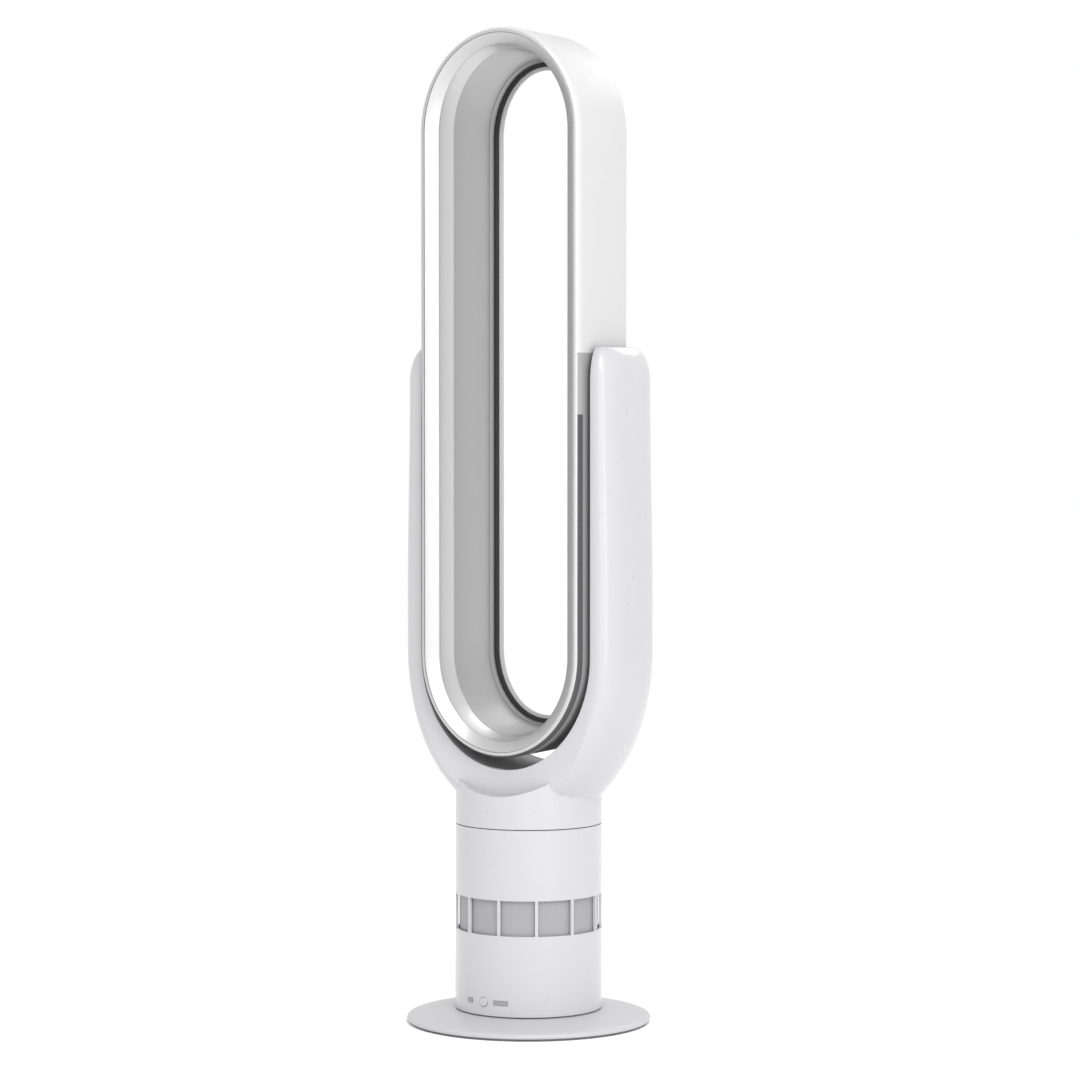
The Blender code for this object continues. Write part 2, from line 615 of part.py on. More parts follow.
def make_intake(column):
    outer = COLUMN_INNER - 1.1 * MM
    inner = outer - MESH_THICKNESS
    mesh = ring("intake_mesh", inner, outer, MESH_BOTTOM, MESH_TOP, "grey_mesh", steps=36)
    pitch = 360 / WINDOW_COUNT
    rows = WINDOW_HEIGHT / MESH_SLOTS
    half = pitch / 2 - 3
    slots = []
    for row in range(MESH_SLOTS):
        bottom = WINDOW_BOTTOM + rows * (row + 0.25)
        for i in range(WINDOW_COUNT):
            middle = WINDOW_PHASE + pitch * (i + 0.5)
            place = (bottom, bottom + rows / 2, middle, half)
            slots.append(sector(f"mesh_slot_{row}_{i}", inner - 1 * MM, outer + 1 * MM, *place, steps=1))
    cut(mesh, *slots)
    column["mesh"] = mesh
    floor_top = LOWER_LEDGE - SEAT_GAP
    floor = rod("chamber_floor", SLIDING_RADIUS, floor_top - 2 * MM, floor_top, "grey_plastic", steps=40)
    grommet = rod("lead_hole", 5 * MM, floor_top - 3 * MM, floor_top + 1 * MM)
    grommet.location.x = SLIDING_RADIUS - 14 * MM
    cut(floor, grommet)
    column["floor"] = floor


# Blower


def make_blower(column):
    flange = SHROUD_FLANGE
    top = BUCKET_BOTTOM + 24 * MM
    cone_top = IMPELLER_TOP - 3 * MM
    cone_exit = SHROUD_EXIT - 2.5 * MM
    outline = [(SHROUD_THROAT + 2 * MM, flange), (SLIDING_RADIUS, flange), (SLIDING_RADIUS, flange + 2 * MM)]
    outline += [(SHROUD_THROAT + 4.1 * MM, flange + 2 * MM), (cone_exit + 1.9 * MM, cone_top - 0.6 * MM)]
    outline += [(SHROUD_EXIT + SHROUD_WALL, IMPELLER_TOP + 1.6 * MM), (SHROUD_EXIT + SHROUD_WALL, top)]
    outline += [(SHROUD_EXIT, top), (SHROUD_EXIT, IMPELLER_TOP + 2 * MM), (cone_exit, cone_top)]
    outline += [(SHROUD_THROAT, THROAT_HEIGHT)]
    column["shroud"] = lathe("fan_shroud", outline, "grey_plastic", steps=32)
    isolator_inner = COLUMN_INNER - LEDGE_WIDTH - 1 * MM
    isolator_top = ISOLATOR_BOTTOM + ISOLATOR_HEIGHT
    column["isolator"] = ring(
        "isolator_ring", isolator_inner, SLIDING_RADIUS, ISOLATOR_BOTTOM, isolator_top, "black_rubber", 36
    )
    dome = [(0.93, 0.8), (0.76, 0.93), (0.45, 0.985)]
    wall_top = BUCKET_BOTTOM + 30 * MM
    rise = BUCKET_TOP - wall_top
    inner = BUCKET_RADIUS - SHROUD_WALL
    outline = [(BUCKET_RADIUS, BUCKET_BOTTOM), (BUCKET_RADIUS, wall_top)]
    outline += [(BUCKET_RADIUS * a, wall_top + rise * b * 0.75) for a, b in dome]
    outline += [(0, BUCKET_TOP - rise * 0.24), (0, BUCKET_TOP - rise * 0.24 - SHROUD_WALL)]
    outline += [(inner * a, wall_top + rise * b * 0.75 - SHROUD_WALL) for a, b in reversed(dome)]
    outline += [(inner, wall_top - 0.4 * MM), (inner, BUCKET_BOTTOM)]
    diffuser = lathe("diffuser", outline, "grey_plastic", steps=3 * VANE_COUNT)
    cup_inner = MOTOR_RADIUS + 5 * MM
    cup_top = wall_top + rise * 0.65
    join(diffuser, ring("motor_cup", cup_inner, cup_inner + 2 * MM, BUCKET_BOTTOM + 8 * MM, cup_top, steps=20))
    vane_ring = SHROUD_EXIT - 0.4 * MM
    vane_top = BUCKET_BOTTOM + 20 * MM
    join(diffuser, ring("vane_ring", vane_ring - 1.7 * MM, vane_ring, BUCKET_BOTTOM, vane_top, steps=3 * VANE_COUNT))
    join(diffuser, make_vanes(BUCKET_RADIUS - 0.9 * MM, vane_ring - 0.8 * MM, BUCKET_BOTTOM, vane_top))
    column["diffuser"] = diffuser
    lid_bottom = IMPELLER_TOP + 1.4 * MM
    lid_top = BUCKET_BOTTOM - SEAT_GAP
    column["lid"] = ring("bucket_lid", SHAFT_RADIUS + 3 * MM, BUCKET_RADIUS, lid_bottom, lid_top, "grey_plastic", 28)


def blade_ring(root, tip, angle, thickness):
    """A blade's cross-section at one station: root and tip are (radius, height)."""
    corners = []
    for radius, height in (root, tip):
        for side in (-1, 1):
            a = angle + side * thickness / 2 / radius
            corners.append(Vector((radius * math.cos(a), radius * math.sin(a), height)))
    return [corners[0], corners[1], corners[3], corners[2]]


def make_vanes(inner, outer, bottom, top):
    bm = bmesh.new()
    stations = 3
    for vane in range(VANE_COUNT):
        rings = []
        for i in range(stations):
            share = i / (stations - 1)
            height = bottom + 1 * MM + (top - bottom - 2 * MM) * share
            angle = math.tau * vane / VANE_COUNT + math.radians(20) * (1 - (1 - share) ** 2)
            rings.append(blade_ring((inner, height), (outer, height), angle, BLADE_THICKNESS))
        add_loft(bm, rings, False)
    return finish_object("guide_vanes", bm)


def make_impeller():
    bore = SHAFT_RADIUS + SEAT_GAP
    bottom = THROAT_HEIGHT + 1 * MM
    outline = [(bore, bottom), (12 * MM, bottom), (20 * MM, bottom + 4 * MM), (42 * MM, IMPELLER_TOP - 4 * MM)]
    outline += [(44 * MM, IMPELLER_TOP), (bore, IMPELLER_TOP)]
    impeller = lathe("impeller", outline, "grey_plastic", steps=3 * BLADE_COUNT)
    cone_exit = SHROUD_EXIT - 2.5 * MM
    run = Vector((cone_exit - SHROUD_THROAT, IMPELLER_TOP - 3 * MM - THROAT_HEIGHT))
    inward = Vector((-run.y, run.x)).normalized() * TIP_GAP
    throat = Vector((SHROUD_THROAT, THROAT_HEIGHT))
    root_start = Vector((14 * MM, bottom + 5 * MM))
    root_end = Vector((40 * MM, IMPELLER_TOP - 2.6 * MM))
    stations = 5
    bm = bmesh.new()
    for blade in range(BLADE_COUNT):
        rings = []
        for i in range(stations):
            share = i / (stations - 1)
            root = root_start.lerp(root_end, share)
            tip = throat + run * (0.03 + 0.95 * share) + inward
            angle = math.tau * blade / BLADE_COUNT - math.radians(BLADE_SWEEP) * share
            rings.append(blade_ring(root, tip, angle, BLADE_THICKNESS))
        add_loft(bm, rings, False)
    join(impeller, finish_object("impeller_blades", bm))
    nut_top = bottom - SEAT_GAP
    nut_bore = bore / math.cos(math.radians(30))
    nut = ring("impeller_nut", nut_bore, 6.5 * MM, nut_top - 2.7 * MM, nut_top, "steel", steps=6)
    shaft_bottom = nut_top - 3.2 * MM
    shaft_top = MOTOR_TOP - 2.6 * MM
    shaft = rod("motor_shaft", SHAFT_RADIUS, shaft_bottom, shaft_top, "steel", steps=16)
    magnet = ring("motor_rotor", bore, 14.6 * MM, MOTOR_BOTTOM + 7.4 * MM, MOTOR_TOP - 8 * MM, "steel", steps=24)
    return [impeller, nut, shaft, magnet]


def make_motor(column):
    inner = MOTOR_RADIUS - 2 * MM
    pocket = BEARING_RADIUS + SEAT_GAP
    holder = pocket + 2.2 * MM
    roof = MOTOR_TOP - 2 * MM
    outline = [(0, MOTOR_TOP), (MOTOR_RADIUS, MOTOR_TOP), (MOTOR_RADIUS, MOTOR_BOTTOM), (inner, MOTOR_BOTTOM)]
    outline += [(inner, roof), (holder, roof), (holder, roof - 4.5 * MM), (pocket, roof - 4.5 * MM)]
    outline += [(pocket, roof), (0, roof)]
    column["can"] = lathe("motor_can", outline, "steel", steps=24)
    cap_bottom = MOTOR_BOTTOM - 2.3 * MM
    cap_top = MOTOR_BOTTOM - SEAT_GAP
    outline = [(5 * MM, cap_bottom), (MOTOR_RADIUS, cap_bottom), (MOTOR_RADIUS, cap_top), (holder, cap_top)]
    outline += [(holder, cap_top + 4.2 * MM), (pocket, cap_top + 4.2 * MM), (pocket, cap_top), (5 * MM, cap_top)]
    column["endcap"] = lathe("motor_endcap", outline, "steel", steps=24)
    bore = SHAFT_RADIUS + SEAT_GAP
    low = cap_top + SEAT_GAP
    high = roof - SEAT_GAP - BEARING_HEIGHT
    column["low_bearing"] = ring("lower_bearing", bore, BEARING_RADIUS, low, low + BEARING_HEIGHT, "steel", 16)
    column["high_bearing"] = ring("upper_bearing", bore, BEARING_RADIUS, high, high + BEARING_HEIGHT, "steel", 16)
    stator_bottom = MOTOR_BOTTOM + 7.4 * MM
    stator_top = MOTOR_TOP - 8 * MM
    stator_outer = inner - SEAT_GAP
    column["stator"] = ring("motor_stator", 15.2 * MM, stator_outer, stator_bottom, stator_top, "copper", 24)
    sleeve_inner = MOTOR_RADIUS + 0.4 * MM
    sleeve_outer = MOTOR_RADIUS + 4.6 * MM
    column["sleeve"] = ring(
        "motor_sleeve", sleeve_inner, sleeve_outer, MOTOR_BOTTOM + 6 * MM, MOTOR_TOP - 2 * MM, "black_rubber", 24
    )


# Air loop


def loop_rise(half_width):
    """How far the end arcs rise above the straight sides, for an outline of this half width."""
    return LOOP_ARC_RISE - CROWN_RATIO * (LOOP_HALF_WIDTH - half_width)


def loop_sweep(name, section, finish=None):
    """Carries a section of (half width, y) points round the loop."""
    rings = []
    for centre, first in ((ARC_TOP_Z, 0), (ARC_BOTTOM_Z, 180)):
        for i in range(ARC_STEPS + 1):
            a = math.radians(first + 180 * i / ARC_STEPS)
            across = math.cos(a)
            up = math.sin(a)
            rings.append([(half * across, y, centre + loop_rise(half) * up) for half, y in section])
    return loft(name, rings, True, finish)


def make_loop(column):
    out = LOOP_HALF_WIDTH
    corner = CASING_CORNER
    nose = out - NOSE_WIDTH
    side = LOOP_FRONT + NOSE_DEPTH
    section = [(nose + SEAT_GAP, LOOP_FRONT + CASING_WALL + 0.4 * MM), (nose + SEAT_GAP, LOOP_FRONT)]
    section += [(out - 0.5 * NOSE_WIDTH, LOOP_FRONT + 0.13 * NOSE_DEPTH)]
    section += [(out - 0.16 * NOSE_WIDTH, LOOP_FRONT + 0.48 * NOSE_DEPTH), (out, side)]
    section += [(out, LOOP_BACK - corner), (out - corner * 0.3, LOOP_BACK - corner * 0.3)]
    section += [(out - corner, LOOP_BACK), (LIP_HALF_WIDTH + 0.5 * MM, LOOP_BACK)]
    section += [(LIP_HALF_WIDTH, LOOP_BACK - 0.5 * MM), (LIP_HALF_WIDTH + 0.3 * MM, LOOP_BACK - CASING_WALL)]
    section += [(out - corner, LOOP_BACK - CASING_WALL), (out - CASING_WALL, LOOP_BACK - corner)]
    section += [(out - CASING_WALL, side + 0.6 * MM)]
    casing = loop_sweep("loop_casing", section, "white_satin")
    bevel_end = nose - BEVEL_WIDTH
    bevel_back = LOOP_FRONT + BEVEL_DEPTH
    facet_end = bevel_end - FACET_WIDTH
    facet_back = bevel_back + FACET_DEPTH
    section = [(nose, LOOP_FRONT), (bevel_end, bevel_back), (facet_end, facet_back)]
    section += [(facet_end + INNER_WALL, facet_back), (bevel_end + INNER_WALL, bevel_back + 1.2 * MM)]
    section += [(nose, LOOP_FRONT + CASING_WALL + 0.4 * MM)]
    column["frame"] = loop_sweep("front_frame", section, "silver")
    wall_back = LOOP_BACK - CASING_WALL - SEAT_GAP - GASKET_DEPTH - SLOT_GAP
    flare = SLOT_HALF_WIDTH + FLARE_WIDTH
    section = [(facet_end, facet_back + SEAT_GAP), (flare, wall_back - FLARE_DEPTH)]
    section += [(SLOT_HALF_WIDTH, wall_back), (SLOT_HALF_WIDTH + INNER_WALL, wall_back)]
    section += [(flare + INNER_WALL, wall_back - FLARE_DEPTH), (facet_end + INNER_WALL, facet_back + SEAT_GAP)]
    column["inner_wall"] = loop_sweep("inner_wall", section, "silver")
    gasket_inner = SLOT_HALF_WIDTH - SLOT_WIDTH
    gasket_back = LOOP_BACK - CASING_WALL - SEAT_GAP
    gasket_front = gasket_back - GASKET_DEPTH
    section = [(gasket_inner, gasket_front), (gasket_inner + GASKET_WIDTH, gasket_front)]
    section += [(gasket_inner + GASKET_WIDTH, gasket_back), (gasket_inner, gasket_back)]
    column["gasket"] = loop_sweep("slot_gasket", section, "black_rubber")
    cut(casing, *[outlet_block(f"casing_outlet_{side}", out - 4 * MM, out + 1 * MM, side) for side in (-1, 1)])
    column["casing"] = casing


def outlet_block(name, low, high, side, spread=0.0, finish=None):
    """A block across the gap between cradle and loop, from one X to the other, as tall and deep as the outlet."""
    xs = sorted((side * low, side * high))
    bottom = OUTLET_BOTTOM - spread
    top = OUTLET_TOP + spread
    half = OUTLET_HALF_DEPTH + spread
    return box(name, (xs[0], -half, bottom), (xs[1], half, top), finish)


# Cradle


def smooth(low, high, value):
    share = min(max((value - low) / (high - low), 0), 1)
    return share * share * (3 - 2 * share)


def arm_thickness(height):
    """The arm's thickness half way along its depth."""
    share = (DOME_BASE - height) / (DOME_BASE - ARC_BOTTOM_Z)
    return ARM_TIP_THICKNESS + (ARM_THICKNESS - ARM_TIP_THICKNESS) * smooth(0, 0.8, share)


def cradle_half(straight, steps):
    """Stations down the +X arm to the lowest point: inner and outer (x, z), edge thickness, half depth, power."""
    stations = []
    for step in range(4, -1, -1):
        a = math.radians(22.5 * step)
        height = DOME_BASE + DOME_HEIGHT * math.sin(a)
        thick = DOME_TIP_THICKNESS + (ARM_TIP_THICKNESS - DOME_TIP_THICKNESS) * math.cos(a)
        depth = CRADLE_HALF_DEPTH - DOME_DEPTH_LOSS * (1 - math.cos(a))
        stations.append((Vector((CRADLE_HALF_WIDTH, height)), Vector((CRADLE_HALF_WIDTH + thick, height)),
                         ARM_EDGE, depth, ARM_POWER))
    for step in range(1, straight):
        height = DOME_BASE + (ARC_BOTTOM_Z - DOME_BASE) * step / straight
        thick = arm_thickness(height)
        stations.append((Vector((CRADLE_HALF_WIDTH, height)), Vector((CRADLE_HALF_WIDTH + thick, height)),
                         ARM_EDGE, CRADLE_HALF_DEPTH, ARM_POWER))
    drop = ARC_BOTTOM_Z - CRADLE_INNER_BOTTOM
    for step in range(steps + 1):
        degrees = 90 - 90 * step / steps
        a = math.radians(degrees)
        inner = Vector((CRADLE_HALF_WIDTH * math.sin(a), ARC_BOTTOM_Z - drop * math.cos(a)))
        reach = CRADLE_HALF_WIDTH + ARM_THICKNESS
        height = max(ARC_BOTTOM_Z - CRADLE_OUTER_DROP * math.cos(a), CRADLE_OUTER_BOTTOM)
        keel = smooth(78, 32, degrees) if degrees > 32 else 1.0
        edge = ARM_EDGE + (KEEL_EDGE - ARM_EDGE) * keel
        power = ARM_POWER + (KEEL_POWER - ARM_POWER) * keel
        stations.append((inner, Vector((reach * math.sin(a), height)), edge, CRADLE_HALF_DEPTH, power))
    return stations


def cradle_stations(straight=3, steps=10):
    right = cradle_half(straight, steps)
    left = []
    for inner, outer, edge, depth, power in reversed(right[:-1]):
        left.append((Vector((-inner.x, inner.y)), Vector((-outer.x, outer.y)), edge, depth, power))
    return right + left


def cradle_hull(name, inset=0.0, sides=10, finish=None):
    """The cradle's outer form, filled to its inner surface; an inset makes the hollow inside its walls."""
    rings = []
    for inner, outer, edge, depth, power in cradle_stations():
        thickness = (outer - inner).length - inset
        ray = (outer - inner).normalized()
        depth -= inset
        if inset:
            edge = max(edge - inset, inset + 0.6 * MM)
        inner = inner - Vector((0, inset)) if inner.y > DOME_BASE else inner
        points = [(depth, inset)]
        for i in range(sides + 1):
            a = math.pi * i / sides
            bulge = abs(math.sin(a)) ** (2 / power)
            y = math.copysign(abs(math.cos(a)) ** (2 / power), math.cos(a)) * depth
            points.append((y, edge + (thickness - edge) * bulge))
        points.append((-depth, inset))
        rings.append([cradle_point(inner, ray, y, t) for y, t in points])
    return loft(name, rings, False, finish)


def cradle_point(inner, ray, y, thickness):
    spot = inner + ray * thickness
    return Vector((spot.x, CRADLE_CENTRE_Y + y, spot.y))


def cradle_band(name, low, high, margin, top, divisions, finish=None):
    """A strip that follows the cradle's inner surface below this height, this margin in from its edges."""
    rings = []
    stations = [entry for entry in cradle_stations(*divisions) if entry[0].y < DOME_BASE - 1 * MM]
    for i, (inner, outer, _, depth, _) in enumerate(stations):
        ray = (outer - inner).normalized()
        if i in (0, len(stations) - 1):
            inner = Vector((inner.x, top))
        half = depth - margin
        corners = ((-half, low), (half, low), (half, high), (-half, high))
        rings.append([cradle_point(inner, ray, y, t) for y, t in corners])
    return loft(name, rings, False, finish)


def scoop(name, offset):
    """A solid across the column, whose underside shapes the collar's top to follow the loop."""
    outline = []
    steps = 32
    for i in range(steps):
        a = math.tau * (i + 0.5) / steps
        across = (SCOOP_HALF_WIDTH + offset) * math.cos(a)
        outline.append((across, ARC_BOTTOM_Z + (SCOOP_RISE + offset) * math.sin(a)))
    reach = COLUMN_RADIUS + 10 * MM
    rings = [[(x, y, z) for x, z in outline] for y in (-reach, reach)]
    return loft(name, rings, False)


def make_cradle(column):
    shell = cradle_hull("cradle_shell", finish="white_gloss")
    collar_top = CRADLE_INNER_BOTTOM + 8 * MM
    spigot_outer = COLUMN_INNER - SEAT_GAP
    spigot_inner = spigot_outer - 2 * MM
    spigot_bottom = SEAM_HEIGHT - SPIGOT_DEPTH
    outline = [(0, spigot_bottom), (spigot_outer, spigot_bottom), (spigot_outer, COLLAR_BOTTOM)]
    outline += [(COLUMN_RADIUS - EDGE_ROUND, COLLAR_BOTTOM), (COLUMN_RADIUS, COLLAR_BOTTOM + EDGE_ROUND)]
    outline += [(COLUMN_RADIUS, collar_top), (0, collar_top)]
    collar = lathe("collar", outline, steps=48)
    cut(collar, scoop("collar_scoop", 0.0))
    step = COLLAR_BOTTOM + 2.2 * MM
    outline = [(0, spigot_bottom - 1 * MM), (spigot_inner, spigot_bottom - 1 * MM), (spigot_inner, step)]
    outline += [(COLUMN_INNER, step), (COLUMN_INNER, collar_top - 1 * MM), (0, collar_top - 1 * MM)]
    bore = lathe("collar_bore", outline, steps=48)
    bore.rotation_euler.z = math.radians(2.5)
    cut(bore, scoop("bore_scoop", WALL))
    join(shell, collar)
    cut(shell, bore, cradle_hull("cradle_hollow", WALL, sides=8))
    cut(shell, cradle_band("liner_opening", -2 * MM, WALL + 1 * MM, LINER_RIM, LINER_TOP, (4, 11)))
    liner_top = LINER_TOP - SEAT_GAP
    recess = LINER_RECESS + LINER_THICKNESS
    play = LINER_RIM + SEAT_GAP
    liner = cradle_band("cradle_liner", LINER_RECESS, recess, play, liner_top, (3, 10), "grey_plastic")
    for side, word in ((-1, "left"), (1, "right")):
        make_outlet(column, shell, side, word)
        for i, height in enumerate(LINER_SCREW_HEIGHTS):
            number = i + 1 + (2 if side > 0 else 0)
            make_liner_screw(column, shell, liner, side, height, number)
    column["cradle"] = shell
    column["liner"] = liner


def make_outlet(column, shell, side, word):
    """The pad that carries the loop, with its air outlet and the seal round it."""
    gap_side = LOOP_HALF_WIDTH + 2 * SEAT_GAP + SEAL_THICKNESS
    half = CRADLE_HALF_DEPTH - DOME_DEPTH_LOSS
    outline = []
    for y_sign, z_sign in ((-1, -1), (1, -1), (1, 1), (-1, 1)):
        centre_y = y_sign * (half - PAD_ROUND)
        centre_z = PAD_BOTTOM + PAD_ROUND if z_sign < 0 else PAD_TOP - PAD_ROUND
        start = {(-1, -1): 180, (1, -1): 270, (1, 1): 0, (-1, 1): 90}[(y_sign, z_sign)]
        for i in range(5):
            a = math.radians(start + 22.5 * i)
            outline.append((centre_y + PAD_ROUND * math.cos(a), centre_z + PAD_ROUND * math.sin(a)))
    ends = (side * gap_side, side * (CRADLE_HALF_WIDTH + WALL / 2))
    rings = [[(x, CRADLE_CENTRE_Y + y, z) for y, z in outline] for x in ends]
    join(shell, loft(f"pad_{word}", rings, False))
    cut(shell, outlet_block(f"outlet_{word}", gap_side - 2 * MM, CRADLE_HALF_WIDTH + WALL + 2 * MM, side))
    near = LOOP_HALF_WIDTH + SEAT_GAP
    seal = outlet_block(f"outlet_seal_{word}", near, near + SEAL_THICKNESS, side, 4 * MM, "black_rubber")
    cut(seal, outlet_block(f"seal_hole_{word}", near - 1 * MM, near + 2 * MM, side))
    column[f"seal_{word}"] = seal


def make_liner_screw(column, shell, liner, side, height, number):
    surface = CRADLE_HALF_WIDTH + LINER_RECESS
    boss_start = surface + LINER_THICKNESS + SEAT_GAP
    boss_end = CRADLE_HALF_WIDTH + arm_thickness(height) - 1.2 * MM
    tip = boss_start + 9 * MM
    head = 1.3 * MM
    boss = hollow_post(f"liner_boss_{number}", 4 * MM, 1.8 * MM, boss_end, boss_start, tip + 1 * MM)
    pilot = rod(f"liner_pilot_{number}", 1.8 * MM, surface - 1 * MM, boss_start + 1 * MM)
    turn = math.radians(90 * side)
    join(shell, boss)
    cut(liner, pilot)
    piece = screw(f"liner_screw_{number}", 2.8 * MM, head, 1.5 * MM, tip - surface + head + SEAT_GAP, (0, 0, 0))
    piece.location = (side * (surface - head - SEAT_GAP), CRADLE_CENTRE_Y, height)
    piece.rotation_euler.y = turn
    for helper in (boss, pilot):
        helper.rotation_euler.y = turn
        helper.location = (0, CRADLE_CENTRE_Y, height)
    column[f"liner_screw_{number}"] = piece


# Assembly


def make_axis(name, location, parent=None):
    """An empty on a joint's axis."""
    empty = bpy.data.objects.new(name, None)
    empty.empty_display_size = 0.02
    bpy.context.scene.collection.objects.link(empty)
    empty.location = location
    empty.parent = parent
    return empty


def hang(obj, axis, offset):
    """Parents a piece to a joint's empty without moving it; offset is the empty's place."""
    obj.location = obj.location - Vector(offset)
    obj.parent = axis


def main():
    clear_scene()
    make_base()
    column = {}
    make_turntable(column)
    make_column_shell(column)
    pinion = make_swivel_drive(column)
    make_board(column)
    make_controls(column)
    make_inlet(column)
    make_intake(column)
    make_blower(column)
    make_motor(column)
    make_loop(column)
    make_cradle(column)
    swivel = make_axis("swivel_axis", (0, 0, 0))
    for piece in column.values():
        hang(piece, swivel, (0, 0, 0))
    for name, spot, pieces in (
        ("pinion_axis", (-CENTRE_DISTANCE, 0, 0), [pinion]),
        ("impeller_axis", (0, 0, THROAT_HEIGHT), make_impeller()),
        ("button_axis", (0, 0, CONTROL_HEIGHT), [make_button()]),
    ):
        axis = make_axis(name, spot, swivel)
        for piece in pieces:
            hang(piece, axis, spot)


main()
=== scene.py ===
"""Looks of the bladeless tower fan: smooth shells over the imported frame, in plastic and silver paint."""

import json
import math

import bmesh
import bpy
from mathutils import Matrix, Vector

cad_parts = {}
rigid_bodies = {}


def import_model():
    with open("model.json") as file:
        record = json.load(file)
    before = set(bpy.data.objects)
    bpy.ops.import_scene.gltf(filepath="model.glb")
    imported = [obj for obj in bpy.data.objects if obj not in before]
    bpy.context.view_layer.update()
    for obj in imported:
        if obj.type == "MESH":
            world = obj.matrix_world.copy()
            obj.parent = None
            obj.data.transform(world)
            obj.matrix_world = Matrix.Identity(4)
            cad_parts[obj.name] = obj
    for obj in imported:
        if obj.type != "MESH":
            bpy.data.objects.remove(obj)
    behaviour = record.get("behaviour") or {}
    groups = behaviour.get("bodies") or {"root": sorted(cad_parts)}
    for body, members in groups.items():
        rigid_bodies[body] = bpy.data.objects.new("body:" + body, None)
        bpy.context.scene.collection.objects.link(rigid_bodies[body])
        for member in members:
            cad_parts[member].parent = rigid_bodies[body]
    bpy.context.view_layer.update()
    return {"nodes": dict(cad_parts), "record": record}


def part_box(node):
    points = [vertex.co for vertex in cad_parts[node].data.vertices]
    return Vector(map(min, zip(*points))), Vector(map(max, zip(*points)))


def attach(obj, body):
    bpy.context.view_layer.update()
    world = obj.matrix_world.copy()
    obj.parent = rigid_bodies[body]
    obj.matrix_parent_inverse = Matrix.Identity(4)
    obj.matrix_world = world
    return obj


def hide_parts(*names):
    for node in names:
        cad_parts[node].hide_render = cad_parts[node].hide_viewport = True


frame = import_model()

MM = 0.001

# Camera: a long lens, a little to the fan's right and above its middle; angles are in degrees
AZIMUTH = 26.5
DISTANCE = 3.58
CAMERA_HEIGHT = 0.627
LENS = 119.7
TURN = 0.18
TILT = 2.315

# Height that the softboxes aim at
LIGHT_TARGET = 0.5
FLOOR_HALF = 12

# Edges that turn by more than this stay sharp, in degrees
SHARP_ANGLE = 32

# Fits and walls shared with the solids
GAP = 0.3 * MM
WALL = 2.6 * MM

# Base disc; a rim point is (distance in from the rim, height)
FACET_ROUNDING = 1.001
BASE_HUB_RADIUS = 12.4 * MM
BASE_SKIN = 3.0 * MM
BASE_FLAT = 3.7 * MM
BASE_RIM = ((22.0, 11.0), (4.5, 8.0), (1.5, 6.9), (0.3, 5.7), (0.0, 4.4), (0.4, 3.0))
BASE_UNDERCUT = 1.3 * MM
BASE_SKIRT_RADIUS = 106.6 * MM
BASE_SKIRT_TOP = 6.2 * MM
BASE_ROUNDING = 2.5 * MM

# Column
COLUMN_RADIUS = 73.3 * MM
COLUMN_RIM = 0.5 * MM
COLUMN_EDGE = 0.35 * MM
CUT_MARGIN = 2.0 * MM
PLUG_MARGIN = 3.0 * MM
WINDOWS = 12
WINDOW_RIB = 3.0 * MM
WINDOW_PHASE = 2.5
BUTTON_ANGLE = -11.0
CONTROL_HEIGHT = 28.5 * MM
BUTTON_HOLE_RADIUS = 5.0 * MM

# Rings beside the openings, which keep the shading of the long faces even
CONTROL_RINGS = (19.0 * MM, 38.0 * MM, 44.0 * MM)
NEAR_RING = 1.5 * MM
FAR_RING = 5.0 * MM

# Intake screen, with the edges that the windows leave covered
SCREEN_BELOW = 2.7 * MM
SCREEN_ABOVE = 2.9 * MM
SCREEN_THICKNESS = 1.0 * MM
SCREEN_PITCH = 2.0 * MM
SCREEN_HOLES = 230

# Air loop: a WIDTH runs inwards from the outer side or the last edge, a DEPTH runs back
CROWN_RATIO = 0.9
ARC_RISE = 101.3 * MM
NOSE_WIDTH = 6.4 * MM
NOSE_DEPTH = 8.0 * MM
BEVEL_WIDTH = 11.5 * MM
BEVEL_DEPTH = 10.2 * MM
FACET_WIDTH = 3.3 * MM
CASING_WALL = 2.4 * MM
CASING_CORNER = 5.0 * MM
FLARE_WIDTH = 2.0 * MM
FLARE_DEPTH = 5.4 * MM
SILVER_NOSE = 1.2 * MM
CASING_STEP = 0.6 * MM
LIP_WIDTH = 38.2 * MM
LIP_LAND = 0.8 * MM
LIP_HEIGHT = 0.9 * MM
LIP_BREAK = 0.3 * MM
LIP_TAPER = 0.2 * MM
FRAME_SKIN = 1.8 * MM
BEVEL_SKIN = 1.2 * MM
FACET_MARGIN = 0.5 * MM
SLOT_WIDTH = 29.7 * MM
GASKET_WIDTH = 9.0 * MM
FRAME_ROUNDING = 0.9 * MM
THROAT_ROUNDING = 0.6 * MM
GASKET_ROUNDING = 0.25 * MM
LOOP_STEPS = 64
NOSE_STEPS = 8
CORNER_STEPS = 6

# Cradle
INNER_HALF = 92.9 * MM
INNER_BOTTOM = 257.0 * MM
OUTER_BOTTOM = 206.0 * MM
OUTER_DROP = 180.6 * MM
ARM_THICKNESS = 28.5 * MM
TIP_THICKNESS = 24.4 * MM
HALF_DEPTH = 55.9 * MM
CENTRE_Y = 2.5 * MM
ARM_EDGE = 4.0 * MM
KEEL_EDGE = 30.0 * MM
ARM_POWER = 2.5
KEEL_POWER = 1.5
KEEL_START = 78.0
KEEL_FULL = 32.0
TAPER_SHARE = 0.8
HULL_LIP = 0.8 * MM
HULL_SIDES = 32
DOME_HEIGHT = 34.0 * MM
DOME_TIP = 8.0 * MM
DOME_DEPTH_LOSS = 18.0 * MM
SCOOP_HALF_WIDTH = 115.0 * MM
SCOOP_RISE = 138.6 * MM
LINER_RIM = 5.0 * MM
LINER_RECESS = 0.4 * MM
LINER_THICKNESS = 2.0 * MM
LINER_ROUNDING = 0.4 * MM
LINER_CUT_OUT = 2.0 * MM
